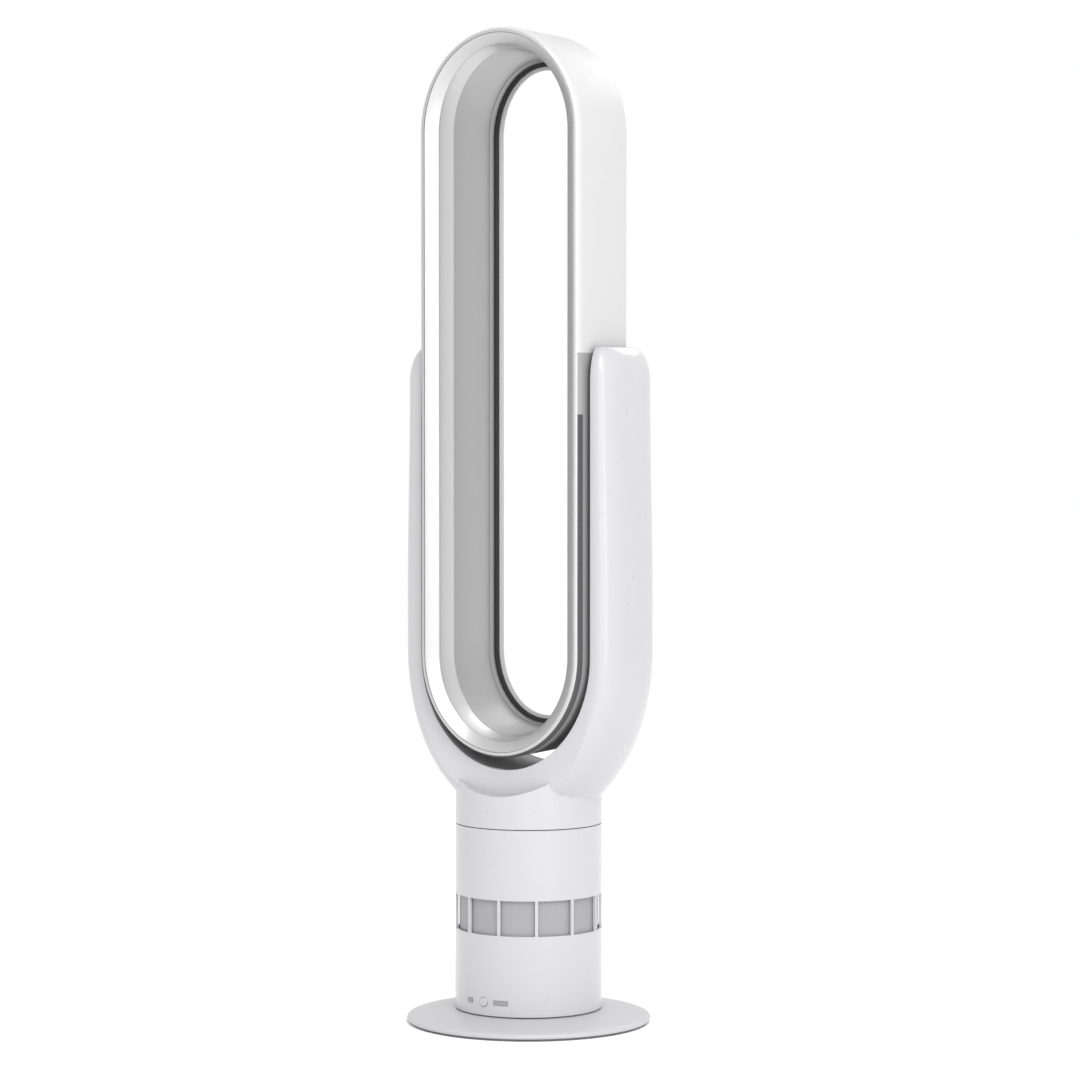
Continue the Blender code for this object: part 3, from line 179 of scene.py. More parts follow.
LINER_CUT_DEPTH = 3.6 * MM
CRADLE_EDGE = 0.6 * MM
COLLAR_SEAM = 0.8 * MM
COLLAR_RIM = 0.4 * MM
COLLAR_OVERLAP = 8.0 * MM
SCOOP_MARGIN = 10.0 * MM
SCOOP_STEPS = 128
WEB_BOTTOM = 604.0 * MM
WEB_DROP = 0.6 * MM
WEB_CORNER = 12.0 * MM
WEB_LOOP_GAP = 1.5 * MM
WEB_BITE = 1.3 * MM

# Stations of the cradle: in the dome, down the straight arm, and round to the lowest point.
# The liner's cutter has its own, so that its rings don't fall on the shell's.
STATIONS = (10, 12, 40)
CUTTER_STATIONS = (10, 11, 37)

# Places read from the frame, or worked out from it
LOOP_LOW, LOOP_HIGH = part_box("loop_casing")
ARC_BOTTOM = LOOP_LOW[2] + ARC_RISE
ARC_TOP = LOOP_HIGH[2] - ARC_RISE
LOOP_HALF = LOOP_HIGH[0]
LOOP_FRONT = LOOP_LOW[1]
LOOP_BACK = LOOP_HIGH[1]
NOSE_EDGE = LOOP_HALF - NOSE_WIDTH
BEVEL_EDGE = NOSE_EDGE - BEVEL_WIDTH
BEVEL_BACK = LOOP_FRONT + BEVEL_DEPTH
FACET_EDGE = BEVEL_EDGE - FACET_WIDTH
SLOT_EDGE = LOOP_HALF - SLOT_WIDTH
CRADLE_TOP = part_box("cradle_shell")[1][2]
DOME_BASE = CRADLE_TOP - DOME_HEIGHT
COLUMN_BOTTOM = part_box("column_shell")[0][2]
COLUMN_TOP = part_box("column_shell")[1][2]
COLLAR_BOTTOM = COLUMN_TOP + COLLAR_SEAM

# The casing gets painted shade below the first height, where it lies between the cradle's arms, and a
# darker painted shade on its front edge below the second
PAINTED_SHADE_TOP = CRADLE_TOP - 6.0 * MM
DEEP_SHADE_TOP = CRADLE_TOP - 66.0 * MM


# Materials


def new_material(name, colour, roughness, metallic=0.0):
    """A Principled material with its plain values; the surface detail is added by the caller."""
    material = bpy.data.materials.new(name)
    material.use_nodes = True
    nodes = material.node_tree.nodes
    shader = nodes["Principled BSDF"]
    shader.inputs["Base Color"].default_value = (*colour, 1)
    shader.inputs["Roughness"].default_value = roughness
    shader.inputs["Metallic"].default_value = metallic
    return material


def noise(material, scale, detail=3.0):
    nodes = material.node_tree.nodes
    coords = nodes.new("ShaderNodeTexCoord")
    texture = nodes.new("ShaderNodeTexNoise")
    texture.inputs["Scale"].default_value = scale
    texture.inputs["Detail"].default_value = detail
    material.node_tree.links.new(coords.outputs["Object"], texture.inputs["Vector"])
    return texture.outputs["Fac"]


def spread(material, source, low, high):
    """Maps a noise from its middle range to these two values."""
    ramp = material.node_tree.nodes.new("ShaderNodeMapRange")
    ramp.inputs["From Min"].default_value = 0.3
    ramp.inputs["From Max"].default_value = 0.7
    ramp.inputs["To Min"].default_value = low
    ramp.inputs["To Max"].default_value = high
    material.node_tree.links.new(source, ramp.inputs["Value"])
    return ramp.outputs["Result"]


def tint(material, source, first, second):
    """Blends two near colours by a noise, for the unevenness of moulded plastic or paint."""
    mix = material.node_tree.nodes.new("ShaderNodeMix")
    mix.data_type = "RGBA"
    mix.inputs["A"].default_value = (*first, 1)
    mix.inputs["B"].default_value = (*second, 1)
    links = material.node_tree.links
    links.new(source, mix.inputs["Factor"])
    links.new(mix.outputs["Result"], material.node_tree.nodes["Principled BSDF"].inputs["Base Color"])


def bump(material, source, height):
    node = material.node_tree.nodes.new("ShaderNodeBump")
    node.inputs["Distance"].default_value = height
    node.inputs["Strength"].default_value = 1.0
    links = material.node_tree.links
    links.new(source, node.inputs["Height"])
    links.new(node.outputs["Normal"], material.node_tree.nodes["Principled BSDF"].inputs["Normal"])


def moulded(name, colour, roughness, grain=0.000012, coat=0.0):
    """Moulded plastic: faint mottling, uneven gloss and a fine grain."""
    material = new_material(name, colour, roughness)
    mottle = noise(material, 14.0)
    tint(material, mottle, [c * 0.985 for c in colour], [min(c * 1.01, 1) for c in colour])
    gloss = spread(material, noise(material, 60.0), roughness - 0.03, roughness + 0.05)
    shader = material.node_tree.nodes["Principled BSDF"]
    material.node_tree.links.new(gloss, shader.inputs["Roughness"])
    shader.inputs["Coat Weight"].default_value = coat
    shader.inputs["Coat Roughness"].default_value = 0.12
    bump(material, noise(material, 2600.0, 2.0), grain)
    return material


def silver_paint(name, shade):
    """Satin metallic paint: fine flake in its colour, uneven gloss and a thin clear coat."""
    colour = (shade, shade, shade)
    material = new_material(name, colour, 0.34, metallic=0.75)
    flake = noise(material, 3200.0, 1.0)
    tint(material, flake, [c * 0.93 for c in colour], [c * 1.06 for c in colour])
    gloss = spread(material, noise(material, 900.0), 0.3, 0.42)
    shader = material.node_tree.nodes["Principled BSDF"]
    material.node_tree.links.new(gloss, shader.inputs["Roughness"])
    shader.inputs["Coat Weight"].default_value = 0.25
    shader.inputs["Coat Roughness"].default_value = 0.15
    bump(material, flake, 0.000008)
    return material


def rubber(name, colour):
    material = new_material(name, colour, 0.65)
    dust = noise(material, 90.0)
    tint(material, dust, colour, [c * 1.5 + 0.004 for c in colour])
    bump(material, noise(material, 1400.0), 0.00003)
    return material


def metal(name, colour, roughness):
    """Turned or plated metal, with fine wear in its gloss."""
    material = new_material(name, colour, roughness, metallic=1.0)
    gloss = spread(material, noise(material, 700.0), roughness - 0.06, roughness + 0.1)
    material.node_tree.links.new(gloss, material.node_tree.nodes["Principled BSDF"].inputs["Roughness"])
    bump(material, noise(material, 2100.0), 0.00001)
    return material


def math_node(material, operation, first, second=None):
    """A Math node on this output, with a number or another output as its second operand."""
    node = material.node_tree.nodes.new("ShaderNodeMath")
    node.operation = operation
    links = material.node_tree.links
    links.new(first, node.inputs[0])
    if isinstance(second, (int, float)):
        node.inputs[1].default_value = second
    elif second:
        links.new(second, node.inputs[1])
    return node.outputs[0]


def perforated_screen():
    """The intake screen: holes in a staggered grid, laid out by the angle and the height."""
    material = new_material("intake_screen", (0.4, 0.4, 0.42), 0.5)
    nodes = material.node_tree.nodes
    links = material.node_tree.links
    coords = nodes.new("ShaderNodeTexCoord")
    split = nodes.new("ShaderNodeSeparateXYZ")
    links.new(coords.outputs["Object"], split.inputs["Vector"])
    x, y, z = split.outputs
    angle = math_node(material, "ARCTAN2", y, x)
    across = math_node(material, "SINE", math_node(material, "MULTIPLY", angle, SCREEN_HOLES))
    up = math_node(material, "SINE", math_node(material, "MULTIPLY", z, math.tau / SCREEN_PITCH))
    grid = math_node(material, "MULTIPLY", across, up)
    hole = nodes.new("ShaderNodeMapRange")
    hole.interpolation_type = "SMOOTHSTEP"
    hole.inputs["From Min"].default_value = 0.25
    hole.inputs["From Max"].default_value = 0.6
    links.new(grid, hole.inputs["Value"])
    tint(material, hole.outputs["Result"], (0.38, 0.377, 0.393), (0.1, 0.1, 0.108))
    bump(material, hole.outputs["Result"], -0.0003)
    return material


def make_materials():
    return {
        "white_gloss": moulded("white_shell", (0.47, 0.468, 0.482), 0.3, coat=0.5),
        "white_satin": moulded("white_case", (0.53, 0.53, 0.53), 0.42),
        "base_white": moulded("base_white", (0.46, 0.46, 0.47), 0.40, coat=0.1),
        # One silver paint in three shades: the two lighter copies are painted light where the nose bevel
        # and the facet catch more light, and the plain one is for the throat
        "silver": silver_paint("silver_paint", 0.42),
        "silver_painted_lighter": silver_paint("silver_painted_lighter_paint", 0.5),
        "silver_painted_lightest": silver_paint("silver_painted_lightest_paint", 0.62),
        "black_rubber": rubber("black_rubber", (0.018, 0.018, 0.019)),
        "foot_rubber": rubber("foot_rubber", (0.10, 0.10, 0.105)),
        "grey_mesh": perforated_screen(),
        "grey_plastic": moulded("grey_plastic", (0.3, 0.3, 0.31), 0.5),
        "dark_lens": moulded("dark_lens", (0.27, 0.27, 0.28), 0.15, grain=0.000002),
        # Painted shade: flat dark greys for the gap between the loop and the cradle's arms
        "painted_edge_shade": moulded("painted_edge_shade", (0.055, 0.055, 0.057), 0.5),
        "shadow_grey": moulded("shadow_grey", (0.28, 0.28, 0.283), 0.5),
        "black_plastic": moulded("black_plastic", (0.04, 0.04, 0.042), 0.4),
        "circuit_green": moulded("circuit_green", (0.03, 0.16, 0.07), 0.45),
        "copper": metal("copper_windings", (0.7, 0.34, 0.18), 0.4),
        "steel": metal("plated_steel", (0.6, 0.6, 0.6), 0.3),
    }


# Mesh builders


def finish_piece(name, bm, material=None):
    """Makes the object; with no material it is a hidden helper for a Boolean."""
    bmesh.ops.recalc_face_normals(bm, faces=bm.faces)
    mesh = bpy.data.meshes.new(name)
    bm.to_mesh(mesh)
    bm.free()
    mesh.shade_smooth()
    mesh.set_sharp_from_angle(angle=math.radians(SHARP_ANGLE))
    obj = bpy.data.objects.new(name, mesh)
    bpy.context.scene.collection.objects.link(obj)
    if material:
        mesh.materials.append(material)
    else:
        obj.hide_render = True
        obj.display_type = "WIRE"
    return obj


def loft(name, rings, closed, material=None):
    """Skins the rings in order; closed joins the last to the first, otherwise both ends are capped."""
    bm = bmesh.new()
    rows = [[bm.verts.new(point) for point in ring] for ring in rings]
    pairs = list(zip(rows, rows[1:]))
    if closed:
        pairs.append((rows[-1], rows[0]))
    for low, high in pairs:
        for i in range(len(low)):
            j = (i + 1) % len(low)
            bm.faces.new((low[i], low[j], high[j], high[i]))
    if not closed:
        bm.faces.new(rows[0])
        bm.faces.new(rows[-1])
    return finish_piece(name, bm, material)


def lathe(name, outline, material=None, steps=144):
    """Turns a closed outline of (radius, height) round the Z axis."""
    bm = bmesh.new()
    columns = []
    for radius, height in outline:
        if radius == 0:
            columns.append([bm.verts.new((0, 0, height))] * steps)
            continue
        turns = [math.tau * (i + 0.5) / steps for i in range(steps)]
        columns.append([bm.verts.new((radius * math.cos(a), radius * math.sin(a), height)) for a in turns])
    for this, following in zip(columns, columns[1:] + columns[:1]):
        for i in range(steps):
            j = (i + 1) % steps
            corners = list(dict.fromkeys((this[i], this[j], following[j], following[i])))
            if len(corners) > 2:
                bm.faces.new(corners)
    return finish_piece(name, bm, material)


def rounded(outline, radius, steps=3):
    """The closed outline with each corner rounded, by less where its sides are short."""
    points = [Vector(p) for p in outline]
    result = []
    for i, corner in enumerate(points):
        before = points[i - 1] - corner
        after = points[(i + 1) % len(points)] - corner
        reach = min(radius, before.length * 0.4, after.length * 0.4)
        start = corner + before.normalized() * reach
        end = corner + after.normalized() * reach
        for step in range(steps + 1):
            t = step / steps
            result.append((start * (1 - t) + corner * t) * (1 - t) + (corner * (1 - t) + end * t) * t)
    return result


def cut(target, *cutters):
    combine(target, cutters, "DIFFERENCE")


def join(target, *others):
    combine(target, others, "UNION")


def combine(target, others, operation):
    group = bpy.data.collections.new(f"{target.name}_{operation.lower()}")
    for other in others:
        group.objects.link(other)
    modifier = target.modifiers.new(group.name, "BOOLEAN")
    modifier.operation = operation
    modifier.operand_type = "COLLECTION"
    modifier.collection = group
    modifier.solver = "EXACT"


def soften(obj, width):
    """Breaks the sharp edges that the Booleans leave."""
    modifier = obj.modifiers.new("soft_edges", "BEVEL")
    modifier.width = width
    modifier.segments = 2
    modifier.limit_method = "ANGLE"
    modifier.angle_limit = math.radians(40)


def settle(obj):
    """Weights the normals by area, applies the modifiers and drops the helpers."""
    weight = obj.modifiers.new("normals", "WEIGHTED_NORMAL")
    weight.keep_sharp = True
    helpers = []
    for modifier in obj.modifiers:
        if modifier.type == "BOOLEAN":
            helpers += list(modifier.collection.objects)
    graph = bpy.context.evaluated_depsgraph_get()
    mesh = bpy.data.meshes.new_from_object(obj.evaluated_get(graph))
    obj.modifiers.clear()
    obj.data = mesh
    for helper in helpers:
        bpy.data.objects.remove(helper, do_unlink=True)


def place(piece, body, *nodes):
    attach(piece, body)
    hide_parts(*nodes)


# Base and column


def make_base(finish):
    low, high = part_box("base_plate")
    radius = high[0] * FACET_ROUNDING
    top = high[2]
    flat = COLUMN_RADIUS + BASE_FLAT
    outline = [(BASE_HUB_RADIUS, top - BASE_SKIN), (BASE_HUB_RADIUS, top), (flat, top)]
    outline += [(radius - inset * MM, height * MM) for inset, height in BASE_RIM]
    outline += [(radius - BASE_UNDERCUT, low[2]), (BASE_SKIRT_RADIUS, low[2])]
    outline += [(BASE_SKIRT_RADIUS, BASE_SKIRT_TOP), (flat, top - BASE_SKIN)]
    disc = lathe("base_disc", rounded(outline, BASE_ROUNDING), finish["base_white"])
    place(disc, "base", "base_plate")


def sector(name, inner, outer, bottom, top, middle, half_angle):
    """A block of a tube wall; angles are in degrees from the front, positive towards +X."""
    rings = []
    steps = 12
    for i in range(steps + 1):
        a = math.radians(middle + half_angle * (2 * i / steps - 1))
        out = Vector((math.sin(a), -math.cos(a), 0))
        corners = ((inner, bottom), (outer, bottom), (outer, top), (inner, top))
        rings.append([out * radius + Vector((0, 0, height)) for radius, height in corners])
    return loft(name, rings, False)


def side_plug(name, radius, angle, height):
    """A short rod through the column's wall, facing out at this angle."""
    inner = COLUMN_RADIUS - WALL - PLUG_MARGIN
    outer = COLUMN_RADIUS + PLUG_MARGIN
    plug = lathe(name, [(0, inner), (radius, inner), (radius, outer), (0, outer)], steps=32)
    plug.rotation_euler = (math.radians(90), 0, math.radians(angle))
    plug.location.z = height
    return plug


def column_outline(bottom, top):
    """The tube's wall, with rings beside the windows, which run between these heights."""
    inner = COLUMN_RADIUS - WALL
    heights = [COLUMN_BOTTOM + COLUMN_RIM, *CONTROL_RINGS, bottom - FAR_RING, bottom - NEAR_RING]
    heights += [top + NEAR_RING, top + FAR_RING, COLUMN_TOP - COLUMN_RIM]
    outline = [(COLUMN_RADIUS - COLUMN_RIM, COLUMN_BOTTOM)] + [(COLUMN_RADIUS, z) for z in heights]
    outline += [(COLUMN_RADIUS - COLUMN_RIM, COLUMN_TOP), (inner, COLUMN_TOP)]
    outline += [(inner, z) for z in reversed(heights[1:-1])] + [(inner, COLUMN_BOTTOM)]
    return outline


def column_cutters(bottom, top):
    """The windows, and the holes for the panes, the button and the inlet."""
    reach = (COLUMN_RADIUS - WALL - CUT_MARGIN, COLUMN_RADIUS + CUT_MARGIN)
    pitch = 360 / WINDOWS
    half = pitch / 2 - math.degrees(WINDOW_RIB / 2 / COLUMN_RADIUS)
    cutters = []
    for i in range(WINDOWS):
        middle = WINDOW_PHASE + pitch * (i + 0.5)
        cutters.append(sector(f"window_{i}", *reach, bottom, top, middle, half))
    for node in ("ir_window", "status_window"):
        low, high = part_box(node)
        left = math.degrees(math.asin(low[0] / COLUMN_RADIUS))
        right = math.degrees(math.asin(high[0] / COLUMN_RADIUS))
        span = (low[2] - GAP, high[2] + GAP, (left + right) / 2, (right - left) / 2)
        cutters.append(sector(f"{node}_hole", *reach, *span))
    cutters.append(side_plug("button_hole", BUTTON_HOLE_RADIUS, BUTTON_ANGLE, CONTROL_HEIGHT))
    low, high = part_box("power_inlet")
    cutters.append(side_plug("inlet_hole", (high[0] - low[0]) / 2 + GAP, 180.0, (low[2] + high[2]) / 2))
    return cutters


def make_column(finish):
    low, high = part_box("intake_mesh")
    bottom = low[2] + SCREEN_BELOW
    top = high[2] - SCREEN_ABOVE
    shell = lathe("column_tube", column_outline(bottom, top), finish["white_gloss"])
    cut(shell, *column_cutters(bottom, top))
    soften(shell, COLUMN_EDGE)
    settle(shell)
    place(shell, "column", "column_shell")


def make_screen(finish):
    low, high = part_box("intake_mesh")
    outer = high[0]
    inner = outer - SCREEN_THICKNESS
    outline = [(inner, low[2]), (outer, low[2]), (outer, high[2]), (inner, high[2])]
    screen = lathe("intake_screen", outline, finish["grey_mesh"])
    place(screen, "column", "intake_mesh")


# Air loop


def loop_sweep(name, section, material):
    """Carries a closed section of (half width, y) round the loop's straight sides and elliptical ends."""
    ends = ((ARC_TOP, 0, -1, (PAINTED_SHADE_TOP, DEEP_SHADE_TOP)), (ARC_BOTTOM, 180, 1, (DEEP_SHADE_TOP, PAINTED_SHADE_TOP)))
    rings = []
    for centre, first, side, heights in ends:
        for i in range(LOOP_STEPS + 1):
            a = math.radians(first + 180 * i / LOOP_STEPS)
            ring = []
            for half, y in section:
                rise = ARC_RISE - CROWN_RATIO * (LOOP_HALF - half)
                ring.append((half * math.cos(a), y, centre + rise * math.sin(a)))
            rings.append(ring)
        for height in heights:
            rings.append([(side * half, y, height) for half, y in section])
    return loft(name, rings, True, material)


def paint(obj, material, chosen):
    """Gives this finish to the faces whose centre passes the test."""
    obj.data.materials.append(material)
    slot = len(obj.data.materials) - 1
    for face in obj.data.polygons:
        if chosen(face.center):
            face.material_index = slot


def casing_section():
    """The casing's wall: its round nose, its flat outer side, the back and the lip, and back inside."""
    start = NOSE_EDGE + GAP
    corner = LOOP_HALF - CASING_CORNER
    lip = LOOP_HALF - LIP_WIDTH
    inside = LOOP_HALF - CASING_WALL
    points = [(start, LOOP_FRONT + CASING_WALL), (start, LOOP_FRONT)]
    for i in range(1, NOSE_STEPS + 1):
        a = math.radians(90 * i / NOSE_STEPS)
        half = start + (NOSE_WIDTH - GAP) * math.sin(a)
        points.append((half, LOOP_FRONT + NOSE_DEPTH * (1 - math.cos(a))))
    for i in range(CORNER_STEPS + 1):
        a = math.radians(90 * i / CORNER_STEPS)
        half = corner + CASING_CORNER * math.cos(a)
        points.append((half, LOOP_BACK - CASING_CORNER + CASING_CORNER * math.sin(a)))
    points += [(lip + LIP_LAND, LOOP_BACK), (lip + LIP_TAPER, LOOP_BACK - LIP_BREAK)]
    points += [(lip, LOOP_BACK - LIP_HEIGHT), (lip + LIP_BREAK, LOOP_BACK - CASING_WALL)]
    points += [(corner, LOOP_BACK - CASING_WALL), (inside, LOOP_BACK - CASING_CORNER)]
    points += [(inside, LOOP_FRONT + NOSE_DEPTH + CASING_STEP)]
    return points


def on_casing_edge(spot):
    return spot.y < LOOP_FRONT + SILVER_NOSE


# Painted shade on the casing where it lies between the cradle's arms
def in_painted_arm_shade(spot):
    return spot.z < PAINTED_SHADE_TOP and LOOP_FRONT + SILVER_NOSE < spot.y < LOOP_BACK - CASING_CORNER


# Darker painted shade on the casing's front edge, low between the arms
def in_painted_edge_shade(spot):
    return spot.z < DEEP_SHADE_TOP and LOOP_FRONT + SILVER_NOSE < spot.y < LOOP_FRONT + NOSE_DEPTH


def on_facet(spot):
    return spot.y > BEVEL_BACK + FACET_MARGIN


def make_casing(finish):
    case = loop_sweep("loop_case", casing_section(), finish["white_satin"])
    # The casing's front edge is silver, in the copy painted lighter
    paint(case, finish["silver_painted_lighter"], on_casing_edge)
    # Painted shade for the dark gap between the loop and the cradle's arms
    paint(case, finish["shadow_grey"], in_painted_arm_shade)
    paint(case, finish["painted_edge_shade"], in_painted_edge_shade)
    place(case, "column", "loop_casing")


def make_front_frame(finish):
    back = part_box("front_frame")[1][1]
    section = [(NOSE_EDGE, LOOP_FRONT), (BEVEL_EDGE, BEVEL_BACK), (FACET_EDGE, back)]
    section += [(FACET_EDGE + FRAME_SKIN, back), (BEVEL_EDGE + FRAME_SKIN, BEVEL_BACK + BEVEL_SKIN)]
    section += [(NOSE_EDGE, LOOP_FRONT + CASING_WALL)]
    # The nose bevel is in the silver painted lighter
    nose = loop_sweep("loop_nose", rounded(section, FRAME_ROUNDING), finish["silver_painted_lighter"])
    # The facet gets the lightest copy, painted lighter still
    paint(nose, finish["silver_painted_lightest"], on_facet)
    place(nose, "column", "front_frame")


def make_throat(finish):
    low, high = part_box("inner_wall")
    front, back = low[1], high[1]
    flare = SLOT_EDGE + FLARE_WIDTH
    section = [(FACET_EDGE, front), (flare, back - FLARE_DEPTH), (SLOT_EDGE, back)]
    section += [(SLOT_EDGE + FRAME_SKIN, back), (flare + FRAME_SKIN, back - FLARE_DEPTH)]
    section += [(FACET_EDGE + FRAME_SKIN, front)]
    throat = loop_sweep("loop_throat", rounded(section, THROAT_ROUNDING), finish["silver"])
    place(throat, "column", "inner_wall")


def make_gasket(finish):
    low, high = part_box("slot_gasket")
    inner = SLOT_EDGE - GASKET_WIDTH / 2
    outer = inner + GASKET_WIDTH
    section = [(inner, low[1]), (outer, low[1]), (outer, high[1]), (inner, high[1])]
    # A black rubber strip in the air slot; its black is partly painted shade for the dark inside of the
    # slot
    gasket = loop_sweep("slot_strip", rounded(section, GASKET_ROUNDING), finish["black_rubber"])
    place(gasket, "column", "slot_gasket")


# Cradle


def smooth(low, high, value):
    """Rises from 0 at the first value to 1 at the second, level at both ends."""
    share = min(max((value - low) / (high - low), 0), 1)
    return share * share * (3 - 2 * share)


def arm_thickness(height):
    share = (DOME_BASE - height) / (DOME_BASE - ARC_BOTTOM)
    return TIP_THICKNESS + (ARM_THICKNESS - TIP_THICKNESS) * smooth(0, TAPER_SHARE, share)


def cradle_half(dome, straight, steps):
    """Stations down the +X arm: inner and outer (x, z), edge thickness, half depth and power."""
    stations = []
    for step in range(dome, -1, -1):
        a = math.radians(90 * step / dome)
        height = DOME_BASE + DOME_HEIGHT * math.sin(a)
        thick = DOME_TIP + (TIP_THICKNESS - DOME_TIP) * math.cos(a)
        depth = HALF_DEPTH - DOME_DEPTH_LOSS * (1 - math.cos(a))
        inner = Vector((INNER_HALF, height))
        stations.append((inner, inner + Vector((thick, 0)), ARM_EDGE, depth, ARM_POWER))
    for step in range(1, straight):
        inner = Vector((INNER_HALF, DOME_BASE + (ARC_BOTTOM - DOME_BASE) * step / straight))
        outer = inner + Vector((arm_thickness(inner.y), 0))
        stations.append((inner, outer, ARM_EDGE, HALF_DEPTH, ARM_POWER))
    for step in range(steps + 1):
        degrees = 90 - 90 * step / steps
        a = math.radians(degrees)
        inner = Vector((INNER_HALF * math.sin(a), ARC_BOTTOM - (ARC_BOTTOM - INNER_BOTTOM) * math.cos(a)))
        reach = INNER_HALF + ARM_THICKNESS
        outer = Vector((reach * math.sin(a), max(ARC_BOTTOM - OUTER_DROP * math.cos(a), OUTER_BOTTOM)))
        keel = smooth(KEEL_START, KEEL_FULL, degrees)
        edge = ARM_EDGE + (KEEL_EDGE - ARM_EDGE) * keel
        power = ARM_POWER + (KEEL_POWER - ARM_POWER) * keel
        stations.append((inner, outer, edge, HALF_DEPTH, power))
    return stations


def cradle_stations(divisions):
    """The whole U, from the tip of the +X arm round to the other tip."""
    right = cradle_half(*divisions)
    left = []
    for inner, outer, edge, depth, power in reversed(right[:-1]):
        left.append((Vector((-inner.x, inner.y)), Vector((-outer.x, outer.y)), edge, depth, power))
    return right + left


def cradle_point(inner, ray, y, thickness):
    """The place this far out from the inner surface, and this far behind the cradle's middle."""
    spot = inner + ray * thickness
    return Vector((spot.x, CENTRE_Y + y, spot.y))


def superellipse(a, power):
    """A point of the unit superellipse, as (across, up)."""
    across = math.copysign(abs(math.cos(a)) ** (2 / power), math.cos(a))
    return across, abs(math.sin(a)) ** (2 / power)


def cradle_hull(name, material):
    """The U-shaped arms: flat inside with a small lip, and rounded outside."""
    rings = []
    small = HULL_LIP * 0.3
    for inner, outer, edge, depth, power in cradle_stations(STATIONS):
        thickness = (outer - inner).length
        ray = (outer - inner).normalized()
        start = max(edge, HULL_LIP)
        points = [(depth - HULL_LIP, 0), (depth - small, small)]
        for i in range(HULL_SIDES + 1):
            across, up = superellipse(math.pi * i / HULL_SIDES, power)
            points.append((across * depth, start + (thickness - start) * up))
        points += [(-depth + small, small), (-depth + HULL_LIP, 0)]
        rings.append([cradle_point(inner, ray, y, t) for y, t in points])
    return loft(name, rings, False, material)


def cradle_band(name, low, high, margin, top, divisions, material=None):
    """A strip along the cradle's inner surface, its two ends moved to this height."""
    rings = []
    stations = [entry for entry in cradle_stations(divisions) if entry[0].y < DOME_BASE - 1 * MM]
    for i, (inner, outer, _, depth, _) in enumerate(stations):
        ray = (outer - inner).normalized()
        if i in (0, len(stations) - 1):
            inner = Vector((inner.x, top))
        half = depth - margin
        corners = ((-half, low), (half, low), (half, high), (-half, high))
        if material:
            corners = rounded(corners, LINER_ROUNDING)
        rings.append([cradle_point(inner, ray, y, t) for y, t in corners])
    return loft(name, rings, False, material)


def scoop(name):
    """A solid across the column whose underside shapes the collar's top."""
    outline = []
    for i in range(SCOOP_STEPS):
        a = math.tau * (i + 0.5) / SCOOP_STEPS
        outline.append((SCOOP_HALF_WIDTH * math.cos(a), ARC_BOTTOM + SCOOP_RISE * math.sin(a)))
    reach = COLUMN_RADIUS + SCOOP_MARGIN
    return loft(name, [[(x, y, z) for x, z in outline] for y in (-reach, reach)], False)


def make_collar():
    """The round collar on the column, hollowed where the arms rise from it."""
    top = INNER_BOTTOM + COLLAR_OVERLAP
    outline = [(0, COLLAR_BOTTOM), (COLUMN_RADIUS - COLLAR_RIM, COLLAR_BOTTOM)]
    outline += [(COLUMN_RADIUS, COLLAR_BOTTOM + COLLAR_RIM), (COLUMN_RADIUS, top), (0, top)]
    collar = lathe("collar", outline)
    cut(collar, scoop("collar_scoop"))
    return collar


def make_web(side, word):
    """The flat-topped web that joins the arm to the loop."""
    half = HALF_DEPTH - DOME_DEPTH_LOSS
    top = CRADLE_TOP - WEB_DROP
    corners = ((-half, WEB_BOTTOM), (half, WEB_BOTTOM), (half, top), (-half, top))
    outline = rounded(corners, WEB_CORNER, steps=8)
    near = LOOP_HALF + WEB_LOOP_GAP
    far = INNER_HALF + WEB_BITE
    rings = [[(side * x, CENTRE_Y + y, z) for y, z in outline] for x in (near, far)]
    return loft(f"arm_web_{word}", rings, False)


def make_cradle(finish):
    liner_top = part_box("cradle_liner")[1][2]
    shell = cradle_hull("cradle_body", finish["white_gloss"])
    join(shell, make_collar(), make_web(-1, "left"), make_web(1, "right"))
    opening = (-LINER_CUT_OUT, LINER_CUT_DEPTH, LINER_RIM, liner_top + GAP)
    cut(shell, cradle_band("liner_opening", *opening, CUTTER_STATIONS))
    soften(shell, CRADLE_EDGE)
    settle(shell)
    place(shell, "column", "cradle_shell")


def make_liner(finish):
    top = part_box("cradle_liner")[1][2]
    strip = (LINER_RECESS, LINER_RECESS + LINER_THICKNESS, LINER_RIM + GAP, top)
    # The liner is a flat grey for painted shade in the narrow gap between the loop and the arms
    liner = cradle_band("cradle_channel", *strip, STATIONS, finish["shadow_grey"])
    place(liner, "column", "cradle_liner")


# Everything else keeps its solid and gets its finish


def dress_nodes(finish):
    slots = {entry["node"]: entry["material_slot"] for entry in frame["record"]["subparts"]}
    for name, node in frame["nodes"].items():
        material = finish["foot_rubber"] if name == "foot_ring" else finish[slots[name]]
        node.data.materials.clear()
        node.data.materials.append(material)
        node.data.shade_smooth()
        node.data.set_sharp_from_angle(angle=math.radians(SHARP_ANGLE))


# Room


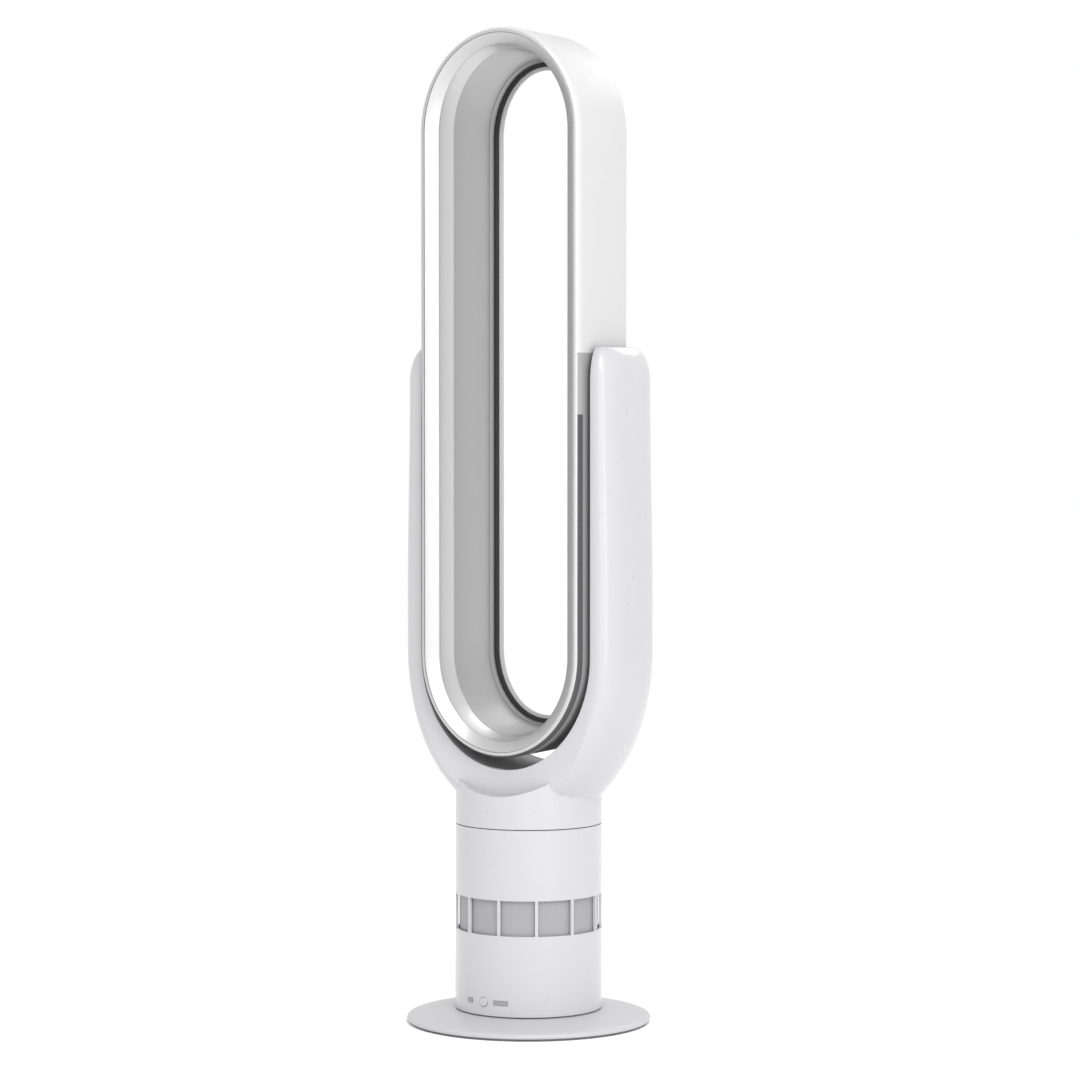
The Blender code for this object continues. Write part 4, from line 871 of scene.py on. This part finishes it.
def make_floor():
    bm = bmesh.new()
    bmesh.ops.create_grid(bm, x_segments=2, y_segments=2, size=FLOOR_HALF)
    mesh = bpy.data.meshes.new("floor")
    bm.to_mesh(mesh)
    bm.free()
    floor = bpy.data.objects.new("floor", mesh)
    bpy.context.scene.collection.objects.link(floor)
    mesh.materials.append(new_material("floor_paper", (1.0, 1.0, 1.0), 0.95))


def make_world():
    world = bpy.data.worlds.new("studio")
    world.use_nodes = True
    background = world.node_tree.nodes["Background"]
    background.inputs["Color"].default_value = (1, 1, 1, 1)
    background.inputs["Strength"].default_value = 1.0
    bpy.context.scene.world = world


def area_light(name, azimuth, elevation, distance, size, power):
    """A softbox aimed at the fan's middle; azimuth is from the front towards +X, in degrees."""
    data = bpy.data.lights.new(name, "AREA")
    data.shape = "RECTANGLE"
    data.size, data.size_y = size
    data.energy = power
    light = bpy.data.objects.new(name, data)
    bpy.context.scene.collection.objects.link(light)
    turn = math.radians(azimuth)
    rise = math.radians(elevation)
    away = Vector((math.sin(turn) * math.cos(rise), -math.cos(turn) * math.cos(rise), math.sin(rise)))
    light.location = away * distance + Vector((0, 0, LIGHT_TARGET))
    light.rotation_euler = (-away).to_track_quat("-Z", "Y").to_euler()


def make_camera():
    data = bpy.data.cameras.new("camera")
    data.lens = LENS
    camera = bpy.data.objects.new("camera", data)
    bpy.context.scene.collection.objects.link(camera)
    a = math.radians(AZIMUTH)
    camera.location = (DISTANCE * math.sin(a), -DISTANCE * math.cos(a), CAMERA_HEIGHT)
    camera.rotation_euler = (math.radians(90 - TILT), 0, math.radians(AZIMUTH - TURN))
    bpy.context.scene.camera = camera


def main():
    make_camera()
    make_world()
    make_floor()
    area_light("key", 38, 40, 3.2, (1.6, 1.6), 50)
    area_light("side_strip", 56, 5, 3.2, (0.9, 2.6), 18)
    area_light("front_strip", 27, 0, 4.3, (0.25, 2.4), 15)
    area_light("back", 178, 28, 3.0, (1.2, 0.5), 5)
    bpy.context.scene.view_settings.view_transform = "Standard"
    finish = make_materials()
    dress_nodes(finish)
    make_base(finish)
    make_column(finish)
    make_screen(finish)
    make_casing(finish)
    make_front_frame(finish)
    make_throat(finish)
    make_gasket(finish)
    make_cradle(finish)
    make_liner(finish)


main()
